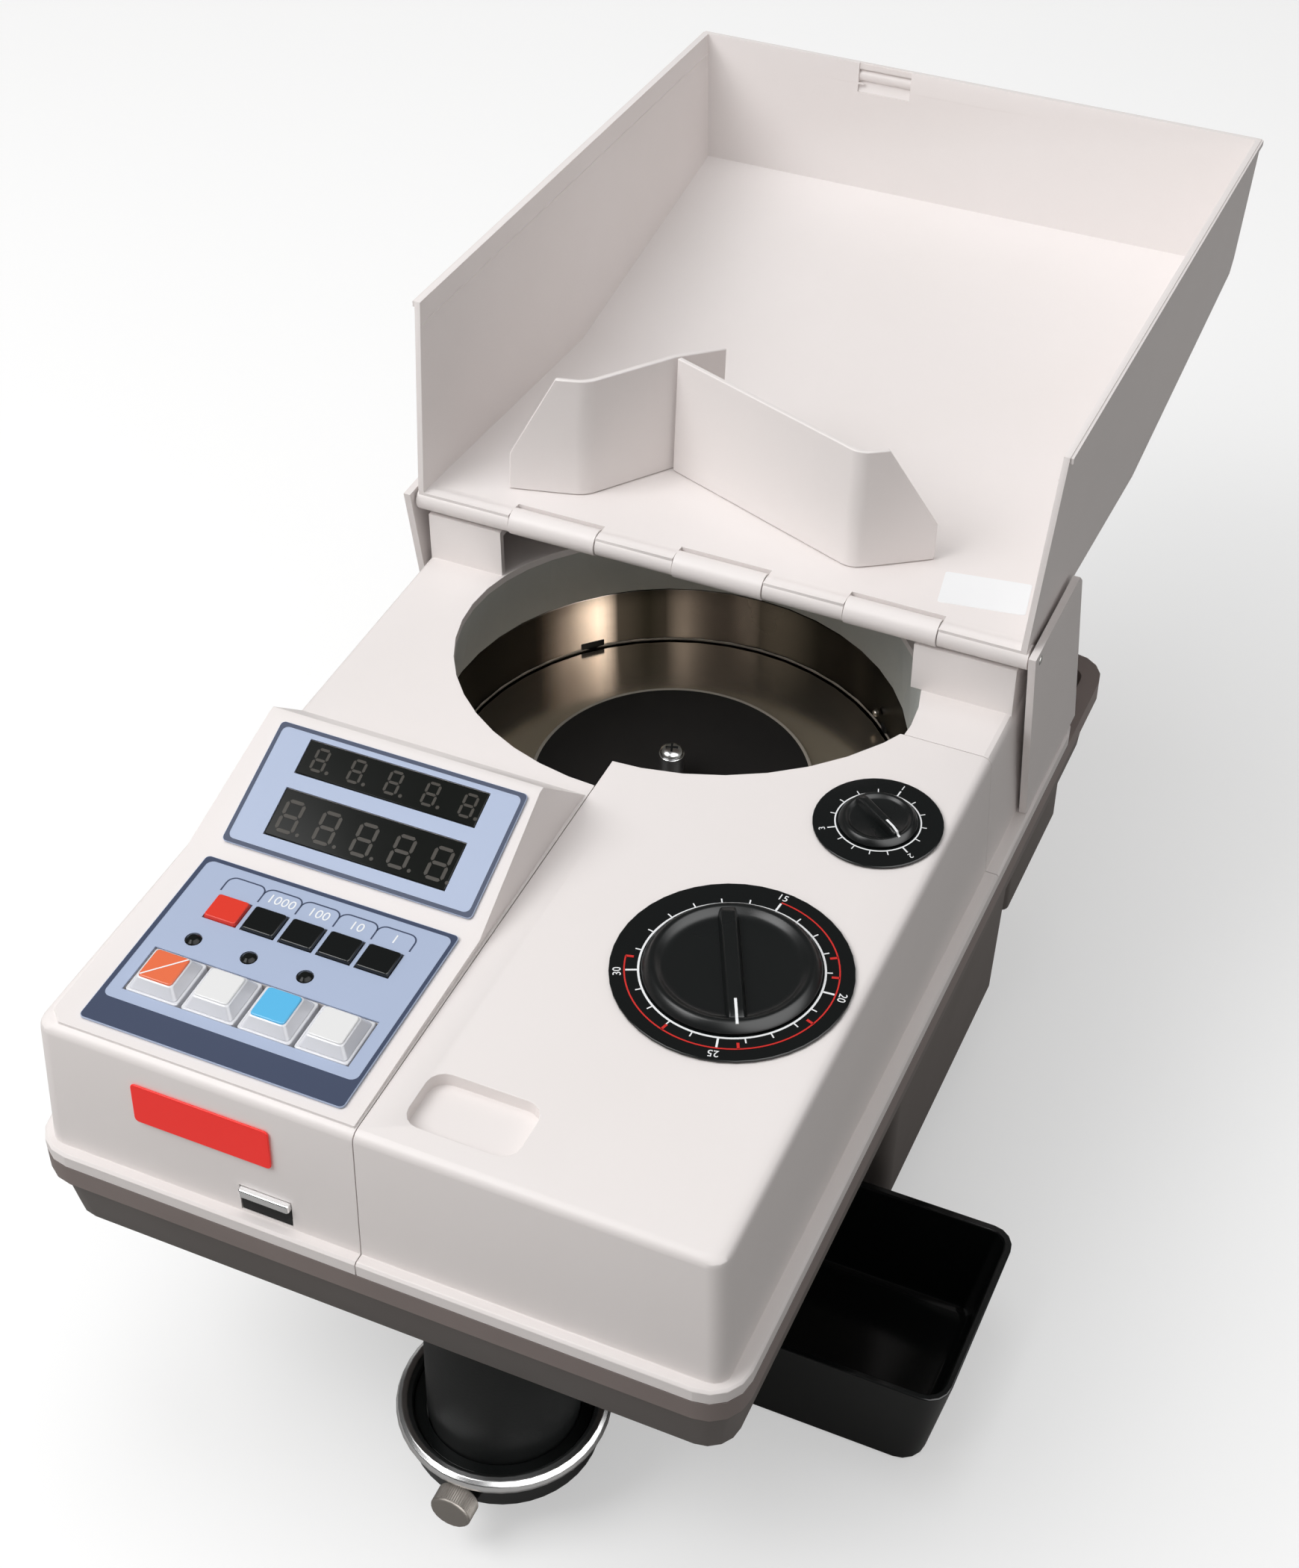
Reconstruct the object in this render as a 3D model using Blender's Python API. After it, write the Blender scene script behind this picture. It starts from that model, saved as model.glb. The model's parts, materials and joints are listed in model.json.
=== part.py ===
# A desktop coin counter with its hopper folded open, as separate pieces
import math

import bmesh
import bpy
from mathutils import Matrix, Vector

MM = 0.001

# Clearances and finish shared by all pieces
gap = 0.3 * MM
overrun = 2.0 * MM
round_steps = 4
turn_steps = 44
small_turn_steps = 20
sharp_angle = math.radians(32)

# Levels: the seam between covers and base is level zero of the counter's own frame
seam_height = 137.0 * MM
flange_top = 5.7 * MM
cover_top = 59.0 * MM
block_top = 79.0 * MM

# Covers: plan
flange_half = 125.0 * MM
wall_step = 5.1 * MM
wall_draft = 2.2 * MM
wall_half_low = flange_half - wall_step
wall_half_high = wall_half_low - wall_draft
front_wall_low = 4.2 * MM
front_wall_high = 7.0 * MM
flange_rear = 348.0 * MM
wall_rear = 340.0 * MM
block_front = 273.3 * MM
doorway_left = -86.2 * MM
doorway_right = 78.2 * MM
block_rear = 372.0 * MM
block_side_clear = 1.3 * MM
block_corner_side = 21.5 * MM
block_corner_depth = 30.0 * MM
roof_break = 338.0 * MM
roof_drop = 3.4 * MM
shell_wall = 2.6 * MM
deck_wall = 3.0 * MM
corner_radius = 14.0 * MM
wall_corner_radius = 6.0 * MM
edge_round = 3.4 * MM
flange_round = 0.9 * MM
split_x = -3.2 * MM
access_rear = 247.7 * MM

# Opening in the deck over the bowl
opening_x = -1.5 * MM
opening_y = 253.5 * MM
opening_half = 87.0 * MM
opening_reach = 74.5 * MM
opening_lip = 0.8 * MM
cover_arc_x = -7.3 * MM
cover_arc_y = 296.5 * MM
cover_arc_radius = 103.5 * MM

# Bowl and feed disc
bowl_x = -13.2 * MM
bowl_y = 267.9 * MM
bowl_radius = 90.3 * MM
bowl_wall = 2.5 * MM
steel_top = 9.9 * MM
disc_top = -16.3 * MM
disc_thickness = 1.8 * MM
disc_clear = 1.5 * MM
disc_radius = bowl_radius - disc_clear
pad_radius = 55.4 * MM
pad_thickness = 2.4 * MM
pad_rim = 2.0 * MM
post_radius = 5.0 * MM
post_top = -0.2 * MM
screw_head_radius = 4.6 * MM
screw_head_height = 2.6 * MM
exit_half = 18.0 * MM
exit_height = 6.0 * MM

# Base
base_front = 0.0 * MM
base_rear = 390.0 * MM
band_low = -9.0 * MM
step_in = 2.8 * MM
pan_low = -32.0 * MM
pan_draft = 1.8 * MM
base_wall = 2.6 * MM
belly_step = 12.0 * MM
belly_half = flange_half - belly_step
belly_front = 187.0 * MM
belly_rear = 323.0 * MM
belly_low = -122.0 * MM
belly_draft = 2.5 * MM
sump_rear = 384.0 * MM
sump_low = -80.0 * MM
foot_radius = 11.0 * MM
foot_inset = 20.0 * MM
foot_recess = 1.0 * MM

# Chassis and drive
chassis_thickness = 2.5 * MM
shaft_radius = 5.0 * MM
disc_hub_radius = 12.0 * MM
disc_hub_height = 8.0 * MM
disc_pulley_radius = 32.0 * MM
pulley_height = 10.0 * MM
pulley_flange = 1.5 * MM
pulley_flange_out = 2.4 * MM
pulley_top = -36.0 * MM
motor_x = 62.0 * MM
motor_y = 232.0 * MM
motor_pulley_radius = 12.0 * MM
motor_radius = 34.0 * MM
motor_top = -52.0 * MM
motor_boss_radius = 10.0 * MM
belt_thickness = 1.6 * MM
bearing_radius = 17.0 * MM
transformer_width = 70.0 * MM
transformer_depth = 58.0 * MM
transformer_height = 55.0 * MM
transformer_x = -68.0 * MM
transformer_y = 235.0 * MM

# Coin path to the outlet
outlet_x = 28.4 * MM
outlet_y = 41.4 * MM
rail_half = 20.0 * MM
rail_top = -17.2 * MM
rail_thickness = 3.0 * MM
rail_rear = bowl_y - bowl_radius - bowl_wall - gap
rail_fence = 3.0 * MM
rail_fence_height = 8.0 * MM
rail_leg_half = 12.0 * MM
fence_width = 8.0 * MM
coin_width = 24.5 * MM
fence_front = 82.0 * MM
fence_rear = 172.0 * MM
fence_post_radius = 4.0 * MM
sensor_width = 12.0 * MM
sensor_depth = 16.0 * MM
sensor_height = 14.0 * MM

# Outlet: chute, collar, ring and screw; the chute leans to spout_x at its foot
spout_x = 23.0 * MM
tube_radius = 26.8 * MM
tube_wall = 2.5 * MM
tube_low = -119.5 * MM
tube_bulge = 1.6 * MM
neck_swell = 1.0 * MM
collar_wall = 6.5 * MM
collar_radius = tube_radius + gap + collar_wall
collar_top = -108.0 * MM
ring_thickness = 6.2 * MM
ring_radius = collar_radius + 1.0 * MM
screw_radius = 7.3 * MM
screw_length = 8.0 * MM
screw_shank = 2.6 * MM
screw_level = -115.3 * MM
screw_turn_steps = 18
flat_depth = 0.5 * MM

# Tray for coins of the wrong size
tray_left = 72.0 * MM
tray_right = 166.0 * MM
tray_front = 92.0 * MM
tray_rear = 174.0 * MM
tray_height = 43.0 * MM
tray_clear = 0.5 * MM
tray_wall = 2.4 * MM
tray_draft = 8.0 * MM
tray_front_draft = 2.5 * MM
tray_radius = 9.0 * MM
reject_hole = 22.0 * MM

# Console: keypad plane and display plane
console_inset = 8.0 * MM
console_left = console_inset - flange_half
console_draft = 3.2 * MM
console_left_top = console_left + console_draft
console_right = -4.0 * MM
console_corner = 4.4 * MM
keypad_front = 10.0 * MM
keypad_front_z = 60.0 * MM
display_front = 93.0 * MM
display_front_z = 62.2 * MM
display_rear = 144.5 * MM
display_rear_z = 83.2 * MM
display_crown = 2.5 * MM
display_draft = 4.3 * MM
display_left_top = console_left_top + display_draft
display_right_top = -6.6 * MM
console_rear = 177.0 * MM
console_low = 50.0 * MM

# Panels on the console, measured along each plane
overlay_thickness = 0.7 * MM
keypad_left = -104.5 * MM
keypad_right = -10.1 * MM
keypad_v0 = 4.0 * MM
keypad_v1 = 81.4 * MM
display_left = -103.0 * MM
display_right = -9.5 * MM
display_v0 = 5.6 * MM
display_v1 = 53.2 * MM
window_left = -89.8 * MM
window_right = -22.3 * MM
upper_window_v0 = 36.5 * MM
upper_window_v1 = 49.4 * MM
lower_window_v0 = 12.4 * MM
lower_window_v1 = 30.2 * MM
window_depth = 9.0 * MM
led_x = -88.5 * MM
led_pitch = 20.6 * MM
led_v = 46.4 * MM
led_radius = 2.6 * MM
led_rise = 1.0 * MM
button_x = -85.0 * MM
button_pitch = 14.0 * MM
button_v = 61.6 * MM
button_width = 12.0 * MM
button_depth = 10.6 * MM
button_rise = 1.2 * MM
button_travel = 0.8 * MM
button_stem = 6.0 * MM
key_x = -87.9 * MM
key_pitch = 20.4 * MM
key_v = 29.0 * MM
key_size = 19.2 * MM
key_cap = 13.0 * MM
key_rise = 5.6 * MM
key_skirt = 1.0 * MM
key_stem = 6.5 * MM
key_travel = 2.2 * MM
board_thickness = 1.6 * MM
board_drop = 11.0 * MM
board_margin = 5.0 * MM
board_post_radius = 3.0 * MM
badge_left = -82.5 * MM
badge_width = 49.5 * MM
badge_low = 25.6 * MM
badge_height = 16.4 * MM
badge_radius = 1.6 * MM

# Latch in the front wall
latch_left = -46.0 * MM
latch_width = 18.2 * MM
latch_low = 14.0 * MM
latch_high = 17.4 * MM
latch_slot_low = 6.6 * MM
latch_front = 2.8 * MM
latch_in = 12.0 * MM
latch_travel = 2.0 * MM

# Access cover: dials and recess
recess_left = 7.0 * MM
recess_right = 45.0 * MM
recess_front = 18.0 * MM
recess_rear = 41.0 * MM
recess_radius = 6.0 * MM
recess_depth = 5.0 * MM
recess_wall = 1.6 * MM
diameter_x = 74.3 * MM
diameter_y = 116.0 * MM
diameter_plate = 39.4 * MM
diameter_knob = 29.0 * MM
diameter_skirt = 3.6 * MM
diameter_rim = 3.6 * MM
diameter_dish = 2.4 * MM
diameter_grip = 4.6 * MM
diameter_grip_width = 7.4 * MM
diameter_grip_length = 50.0 * MM
diameter_turn = math.radians(-154)
thickness_x = 92.8 * MM
thickness_y = 200.0 * MM
thickness_plate = 22.3 * MM
thickness_knob = 13.6 * MM
thickness_skirt = 2.6 * MM
thickness_rim = 2.2 * MM
thickness_dish = 1.4 * MM
thickness_grip = 4.8 * MM
thickness_grip_width = 4.4 * MM
thickness_grip_length = 22.0 * MM
thickness_turn = math.radians(-125)
plate_thickness = 1.0 * MM
spindle_radius = 3.0 * MM
spindle_length = 12.0 * MM
grip_taper_share = 0.78

# Hopper: drawn folded shut over the covers, then turned open about its hinge
axis_y = 275.5 * MM
axis_z = 84.8 * MM
open_angle = math.radians(182.6)
rim_z = 6.2 * MM
rim_step = 2.2 * MM
rim_half = flange_half - rim_step
rim_front = 1.0 * MM
hopper_wall = 2.2 * MM
hopper_draft = 0.046
front_draft = 2.1 * MM
hopper_floor = 2.8 * MM
corner_z = 62.0 * MM
crease_y = 139.8 * MM
crease_z = 86.0 * MM
nose_y = 272.0 * MM
nose_z = 80.6 * MM
wall_end_low = 269.1 * MM
wall_end_high = 279.0 * MM
wall_end_z = 79.4 * MM
barrel_radius = 4.5 * MM
barrel_end = 2.7 * MM
barrel_half = rim_half - barrel_end
pin_radius = 1.5 * MM
pin_past = 0.2 * MM
knuckle_radius = 5.0 * MM
knuckle_width = 35.0 * MM
knuckle_pitch = 66.5 * MM
knuckle_x = 2.6 * MM
knuckle_arm = 3.0 * MM
knuckle_foot = 13.0 * MM
strip_height = 2.8 * MM
catch_left = -50.5 * MM
catch_right = -27.0 * MM
catch_low = 9.2 * MM
catch_high = 18.8 * MM
catch_bar = 1.4 * MM

# Side plates that carry the hinge pin, leaning forward from their feet
plate_step = 3.9 * MM
plate_thickness_side = 2.7 * MM
plate_inner = flange_half - plate_step
plate_outer = plate_inner + plate_thickness_side
pin_half = plate_outer + pin_past
plate_front = 268.5 * MM
plate_lean = 14.5 * MM
plate_foot = plate_front + plate_lean
plate_length = 62.0 * MM
plate_rear = plate_foot + plate_length
plate_rear_lean = 20.0 * MM
plate_round = 4.0 * MM
plate_top = 89.5 * MM

# Divider plates on the hopper floor: place across, and along the floor from the nose
divider_thickness = 2.0 * MM
divider_height = 48.0 * MM
divider_tail_height = 45.0 * MM
divider_end_height = 15.0 * MM
junction_x = -41.8 * MM
junction_v = 52.2 * MM
left_tail_x = -29.6 * MM
left_tail_v = 71.8 * MM
left_kink_x = -62.6 * MM
left_kink_v = 18.7 * MM
left_end_x = -90.0 * MM
left_end_v = 11.0 * MM
right_kink_x = 45.4 * MM
right_kink_v = 16.3 * MM
right_end_x = 70.2 * MM
right_end_v = 36.0 * MM
left_corner_share = 0.40
right_corner_share = 0.33

# Mains inlet and switch in the sump's rear wall
inlet_x = 84.0 * MM
inlet_z = -56.0 * MM
inlet_width = 27.0 * MM
inlet_height = 20.0 * MM
inlet_depth = 16.0 * MM
inlet_flange = 2.0 * MM
socket_depth = 10.0 * MM
switch_x = 50.0 * MM
switch_width = 13.0 * MM
switch_height = 19.0 * MM
switch_depth = 10.0 * MM
rocker_tilt = math.radians(8)

palette = {
    "housing_plastic": ((0.80, 0.77, 0.73), 0.45, 0.0),
    "base_plastic": ((0.115, 0.095, 0.085), 0.55, 0.0),
    "black_plastic": ((0.012, 0.012, 0.013), 0.30, 0.0),
    "black_rubber": ((0.015, 0.015, 0.015), 0.75, 0.0),
    "polished_steel": ((0.62, 0.60, 0.57), 0.18, 1.0),
    "zinc_plate": ((0.55, 0.55, 0.53), 0.40, 1.0),
    "chrome": ((0.80, 0.80, 0.80), 0.12, 1.0),
    "panel_film": ((0.37, 0.45, 0.62), 0.40, 0.0),
    "smoked_window": ((0.010, 0.008, 0.008), 0.15, 0.0),
    "key_orange": ((0.85, 0.14, 0.05), 0.35, 0.0),
    "key_white": ((0.85, 0.85, 0.84), 0.35, 0.0),
    "key_blue": ((0.10, 0.45, 0.80), 0.35, 0.0),
    "button_red": ((0.80, 0.05, 0.03), 0.35, 0.0),
    "badge_red": ((0.72, 0.02, 0.03), 0.35, 0.0),
    "circuit_board": ((0.03, 0.18, 0.08), 0.50, 0.0),
    "motor_paint": ((0.05, 0.05, 0.06), 0.45, 0.3),
}


def clear_scene():
    for obj in list(bpy.data.objects):
        bpy.data.objects.remove(obj, do_unlink=True)


def make_materials():
    made = {}
    for name, (color, roughness, metallic) in palette.items():
        slot = bpy.data.materials.new(name)
        slot.use_nodes = True
        shader = slot.node_tree.nodes["Principled BSDF"]
        shader.inputs["Base Color"].default_value = (*color, 1.0)
        shader.inputs["Roughness"].default_value = roughness
        shader.inputs["Metallic"].default_value = metallic
        slot.diffuse_color = (*color, 1.0)
        made[name] = slot
    return made


# Placing objects

def empty(name, parent, place, tilt=0.0):
    """An axis or a plane that pieces are placed on, turned about X by tilt."""
    obj = bpy.data.objects.new(name, None)
    bpy.context.scene.collection.objects.link(obj)
    obj.empty_display_size = corner_radius
    obj.parent = parent
    obj.location = place
    obj.rotation_euler.x = tilt
    return obj


def piece(name, bm, slot, parent, place=(0, 0, 0), tilt=0.0):
    """Makes a named object from bm, its faces pointing out and its round faces smooth."""
    bmesh.ops.recalc_face_normals(bm, faces=bm.faces)
    mesh = bpy.data.meshes.new(name)
    bm.to_mesh(mesh)
    bm.free()
    mesh.shade_smooth()
    mesh.set_sharp_from_angle(angle=sharp_angle)
    mesh.materials.append(materials[slot])
    obj = bpy.data.objects.new(name, mesh)
    bpy.context.scene.collection.objects.link(obj)
    obj.parent = parent
    obj.location = place
    obj.rotation_euler.x = tilt
    return obj


def tool(target, bm, operation, name, parent=None, place=(0, 0, 0), tilt=0.0):
    """Cuts bm from target, joins it on, or keeps only what lies in it."""
    helper = piece(f"{name}_tool", bm, "zinc_plate", parent or target.parent, place, tilt)
    helper.hide_render = True
    helper.display_type = "WIRE"
    modifier = target.modifiers.new(name, "BOOLEAN")
    modifier.operation = operation
    modifier.solver = "EXACT"
    modifier.object = helper


def cut(target, bm, name, **where):
    tool(target, bm, "DIFFERENCE", name, **where)


def join(target, bm, name, **where):
    tool(target, bm, "UNION", name, **where)


# Shapes

def rounded(x0, x1, y0, y1, radius=0.0):
    """A rectangle's outline, anticlockwise, its corners rounded in round_steps."""
    if radius == 0:
        return [(x0, y0), (x1, y0), (x1, y1), (x0, y1)]
    corners = [(x1 - radius, y0 + radius, 3), (x1 - radius, y1 - radius, 0),
               (x0 + radius, y1 - radius, 1), (x0 + radius, y0 + radius, 2)]
    points = []
    for cx, cy, quarter in corners:
        for step in range(round_steps + 1):
            angle = math.pi / 2 * (quarter + step / round_steps)
            points.append((cx + radius * math.cos(angle), cy + radius * math.sin(angle)))
    return points


def level(outline, z):
    return [(x, y, z) for x, y in outline]


def stack(*rings):
    """A closed solid through rings of as many points each, capped at both ends."""
    bm = bmesh.new()
    loops = [[bm.verts.new(point) for point in ring] for ring in rings]
    bm.faces.new(loops[0])
    bm.faces.new(loops[-1])
    for low, high in zip(loops, loops[1:]):
        for i in range(len(low)):
            j = (i + 1) % len(low)
            bm.faces.new((low[i], low[j], high[j], high[i]))
    return bm


def block(x0, x1, y0, y1, z0, z1, radius=0.0):
    outline = rounded(x0, x1, y0, y1, radius)
    return stack(level(outline, z0), level(outline, z1))


def circle(radius, steps=turn_steps, x=0.0, y=0.0):
    turn = 2 * math.pi / steps
    return [(x + radius * math.cos(turn * i), y + radius * math.sin(turn * i)) for i in range(steps)]


def turned(profile, steps=turn_steps):
    """A solid turned about Z: profile is (radius, height) pairs, from the axis to the axis or a closed ring."""
    bm = bmesh.new()
    rings = []
    for radius, height in profile:
        if radius == 0:
            rings.append([bm.verts.new((0, 0, height))])
        else:
            rings.append([bm.verts.new((x, y, height)) for x, y in circle(radius, steps)])
    pairs = list(zip(rings, rings[1:]))
    if len(rings[0]) > 1:
        pairs.append((rings[-1], rings[0]))
    for one, two in pairs:
        for i in range(steps):
            j = (i + 1) % steps
            corners = {one[i % len(one)]: 0, one[j % len(one)]: 0, two[j % len(two)]: 0, two[i % len(two)]: 0}
            if len(corners) > 2:
                bm.faces.new(list(corners))
    return bm


def disc(radius, z0, z1, steps=turn_steps):
    return turned([(0, z0), (radius, z0), (radius, z1), (0, z1)], steps)


def along_x(bm, x=0.0, y=0.0, z=0.0):
    """Lays what was turned about Z along X, then moves it."""
    bm.transform(Matrix.Translation((x, y, z)) @ Matrix.Rotation(math.pi / 2, 4, "Y"))
    return bm


def along_y(bm, x=0.0, y=0.0, z=0.0):
    """Lays what was turned about Z along -Y, its top to the front, then moves it."""
    bm.transform(Matrix.Translation((x, y, z)) @ Matrix.Rotation(math.pi / 2, 4, "X"))
    return bm


def moved(bm, x=0.0, y=0.0, z=0.0):
    bm.transform(Matrix.Translation((x, y, z)))
    return bm


def across(profile, low, high):
    """Extrudes a (y, z) profile from x = low to x = high; each may be a function of z."""
    sides = []
    for side in (low, high):
        place = side if callable(side) else (lambda z, x=side: x)
        sides.append([(place(z), y, z) for y, z in profile])
    return stack(*sides)


# Base

def pan_outline(inset, lift, radius):
    low, high = base_front + lift, base_rear - lift
    return rounded(-flange_half + inset, flange_half - inset, low, high, radius)


def make_base(root):
    top = -gap
    low_outline = pan_outline(step_in + pan_draft, step_in + 2 * pan_draft, corner_radius - step_in)
    step_outline = pan_outline(step_in, step_in, corner_radius - step_in)
    rim_outline = pan_outline(0, 0, corner_radius)
    base = piece("base_pan", stack(level(low_outline, pan_low), level(step_outline, band_low),
                                   level(rim_outline, band_low), level(rim_outline, top)), "base_plastic", root)
    join(base, belly(0), "belly")
    join(base, sump(0), "sump")
    inner = rounded(-flange_half + step_in + pan_draft + base_wall, flange_half - step_in - pan_draft - base_wall,
                    base_front + step_in + 2 * pan_draft + base_wall, base_rear - step_in - 2 * pan_draft - base_wall,
                    wall_corner_radius)
    cut(base, stack(level(inner, pan_low + base_wall), level(inner, top + overrun)), "pan_inside")
    cut(base, belly(base_wall), "belly_inside")
    cut(base, sump(base_wall), "sump_inside")
    cut(base, moved(disc(tube_radius + neck_swell + gap, pan_low - overrun, pan_low + base_wall + overrun), outlet_x,
                    outlet_y), "outlet_hole")
    hole_x = flange_half - step_in - pan_draft - base_wall - board_margin
    hole_y = (tray_front + tray_rear) / 2
    cut(base, block(hole_x - reject_hole, hole_x, hole_y - reject_hole / 2, hole_y + reject_hole / 2,
                    pan_low - overrun, pan_low + base_wall + overrun), "reject_hole")
    cut(base, block(inlet_x - inlet_width / 2 - gap, inlet_x + inlet_width / 2 + gap, sump_rear - base_wall - overrun,
                    sump_rear + overrun, inlet_z - inlet_height / 2 - gap, inlet_z + inlet_height / 2 + gap),
        "inlet_hole")
    cut(base, block(switch_x - switch_width / 2 - gap, switch_x + switch_width / 2 + gap,
                    sump_rear - base_wall - overrun, sump_rear + overrun,
                    inlet_z - switch_height / 2 - gap, inlet_z + switch_height / 2 + gap), "switch_hole")
    return base


def belly(wall):
    """The deep middle of the base, or with a wall its inside."""
    floor = belly_low + wall
    top = pan_low + base_wall + (overrun if wall else -base_wall / 2)
    low = rounded(-belly_half + belly_draft + wall, belly_half - belly_draft - wall,
                  belly_front + belly_draft + wall, belly_rear - belly_draft - wall, wall_corner_radius)
    high = rounded(-belly_half + wall, belly_half - wall, belly_front + wall, belly_rear - wall, wall_corner_radius)
    return stack(level(low, floor), level(high, top))


def sump(wall):
    """The shallower rear of the base, or with a wall its inside."""
    front = belly_rear - wall_corner_radius - (wall_corner_radius if wall else 0)
    outline = rounded(-belly_half + wall, belly_half - wall, front, sump_rear - wall, wall_corner_radius / 2)
    top = pan_low + base_wall + (overrun if wall else -base_wall / 2)
    return stack(level(outline, sump_low + wall), level(outline, top))


def make_feet(root):
    places = {"front_left": (-1, belly_front), "front_right": (1, belly_front),
              "rear_left": (-1, belly_rear), "rear_right": (1, belly_rear)}
    for name, (side, edge) in places.items():
        x = side * (belly_half - belly_draft - foot_inset)
        y = edge + foot_inset + belly_draft if edge == belly_front else edge - foot_inset - belly_draft
        height = seam_height + belly_low - gap
        profile = [(0, 0), (foot_radius - foot_recess, 0), (foot_radius, foot_recess), (foot_radius, height),
                   (0, height)]
        piece(f"foot_{name}", turned(profile, small_turn_steps), "black_rubber", root, (x, y, -seam_height))


def make_rear_fittings(root):
    back = sump_rear + gap
    body = block(-inlet_width / 2, inlet_width / 2, -inlet_depth, 0, -inlet_height / 2, inlet_height / 2)
    inlet = piece("power_inlet", body, "black_plastic", root, (inlet_x, back, inlet_z))
    join(inlet, block(-inlet_width / 2 - inlet_flange, inlet_width / 2 + inlet_flange, 0, inlet_flange,
                      -inlet_height / 2 - inlet_flange, inlet_height / 2 + inlet_flange), "inlet_flange",
         parent=inlet)
    cut(inlet, block(-inlet_width / 2 + inlet_flange, inlet_width / 2 - inlet_flange, -socket_depth,
                     inlet_flange + overrun, -inlet_height / 2 + inlet_flange, inlet_height / 2 - inlet_flange),
        "inlet_socket", parent=inlet)
    half_width = switch_width / 2
    half_height = switch_height / 2
    swell = half_height * math.sin(rocker_tilt)
    profile = [(-switch_depth, -half_height / 2), (-switch_depth, half_height / 2), (-gap, half_height - gap),
               (swell + gap, half_height - gap), (gap, 0), (swell + gap, -half_height + gap),
               (-gap, -half_height + gap)]
    piece("power_switch", across(profile, -half_width, half_width), "black_plastic", root,
          (switch_x, back, inlet_z))


# Inside: chassis, drive and coin path

def chassis_top():
    return pan_low + base_wall + gap + chassis_thickness


def make_chassis(root):
    side = flange_half - step_in - pan_draft - base_wall - board_margin
    low = chassis_top() - chassis_thickness
    front = outlet_y + tube_radius + board_margin
    rear = base_rear - step_in - 2 * pan_draft - base_wall - board_margin
    chassis = piece("chassis_plate", block(-side, side, front, rear, low, chassis_top()), "zinc_plate", root)
    cut(chassis, moved(disc(shaft_radius + gap, low - overrun, chassis_top() + overrun), bowl_x, bowl_y),
        "shaft_hole")
    reject_x = side - board_margin / 2
    reject_y = (tray_front + tray_rear) / 2
    cut(chassis, block(reject_x - reject_hole, side + overrun, reject_y - reject_hole / 2,
                       reject_y + reject_hole / 2, low - overrun, chassis_top() + overrun), "chute_hole")
    bearing_high = disc_top - disc_thickness - disc_hub_height / 2 - gap
    bearing = [(shaft_radius + gap, chassis_top() + gap), (bearing_radius, chassis_top() + gap),
               (bearing_radius, bearing_high - bowl_wall), (disc_hub_radius - bowl_wall, bearing_high),
               (shaft_radius + gap, bearing_high)]
    piece("disc_bearing", turned(bearing, small_turn_steps), "zinc_plate", root, (bowl_x, bowl_y, 0))


def pulley_profile(radius, top):
    """Half section of a flanged pulley on a shaft, from the axis to the axis."""
    low = top - pulley_height
    out = radius + pulley_flange_out
    return [(0, low), (out, low), (out, low + pulley_flange), (radius, low + pulley_flange),
            (radius, top - pulley_flange), (out, top - pulley_flange), (out, top)]


def make_drive(root):
    axis = (bowl_x, bowl_y, 0)
    under = disc_top - disc_thickness
    hub_low = under - disc_hub_height / 2
    disc_profile = [(0, pulley_top + gap), (shaft_radius, pulley_top + gap), (shaft_radius, hub_low),
                    (disc_hub_radius, hub_low), (disc_hub_radius, under), (disc_radius, under),
                    (disc_radius, disc_top), (0, disc_top)]
    piece("feed_disc", turned(disc_profile), "polished_steel", root, axis)
    pulley = pulley_profile(disc_pulley_radius, pulley_top) + [(0, pulley_top)]
    piece("disc_pulley", turned(pulley), "zinc_plate", root, axis)
    base = disc_top + gap
    pad = [(post_radius + gap, base), (pad_radius, base), (pad_radius, base + pad_thickness),
           (pad_radius - pad_rim, base + pad_thickness), (pad_radius - 2 * pad_rim, base + pad_rim),
           (post_radius + gap, base + pad_rim)]
    piece("disc_pad", turned(pad), "black_rubber", root, axis)
    post = [(0, base), (post_radius, base), (post_radius, post_top), (0, post_top)]
    piece("disc_post", turned(post, small_turn_steps), "chrome", root, axis)
    crown = screw_head_radius * math.cos(math.radians(45))
    head = [(0, post_top + gap), (screw_head_radius, post_top + gap),
            (screw_head_radius, post_top + gap + screw_head_height / 3),
            (crown, post_top + gap + screw_head_height * 3 / 4), (0, post_top + gap + screw_head_height)]
    piece("disc_screw", turned(head, small_turn_steps), "chrome", root, axis)
    motor_axis = (motor_x, motor_y, 0)
    motor_pulley = pulley_profile(motor_pulley_radius, pulley_top) + [(0, pulley_top)]
    piece("motor_pulley", turned(motor_pulley, small_turn_steps), "zinc_plate", root, motor_axis)
    floor = belly_low + base_wall + gap
    body = [(0, floor), (motor_radius, floor), (motor_radius, motor_top), (motor_boss_radius, motor_top),
            (motor_boss_radius, pulley_top - pulley_height - gap), (0, pulley_top - pulley_height - gap)]
    piece("drive_motor", turned(body), "motor_paint", root, motor_axis)
    make_belt(root)
    x, y = transformer_x, transformer_y
    piece("transformer", block(x - transformer_width / 2, x + transformer_width / 2, y - transformer_depth / 2,
                               y + transformer_depth / 2, floor, floor + transformer_height, board_margin),
          "motor_paint", root)


def belt_outline(extra):
    """The outline round both pulleys, extra outside their running faces."""
    big, small = disc_pulley_radius + extra, motor_pulley_radius + extra
    way = Vector((motor_x - bowl_x, motor_y - bowl_y))
    heading = math.atan2(way.y, way.x)
    lean = math.acos((big - small) / way.length)
    points = []
    for x, y, radius, start, sweep in ((bowl_x, bowl_y, big, lean, 2 * math.pi - 2 * lean),
                                       (motor_x, motor_y, small, -lean, 2 * lean)):
        for step in range(turn_steps // 2 + 1):
            angle = heading + start + sweep * step / (turn_steps // 2)
            points.append((x + radius * math.cos(angle), y + radius * math.sin(angle)))
    return points


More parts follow.
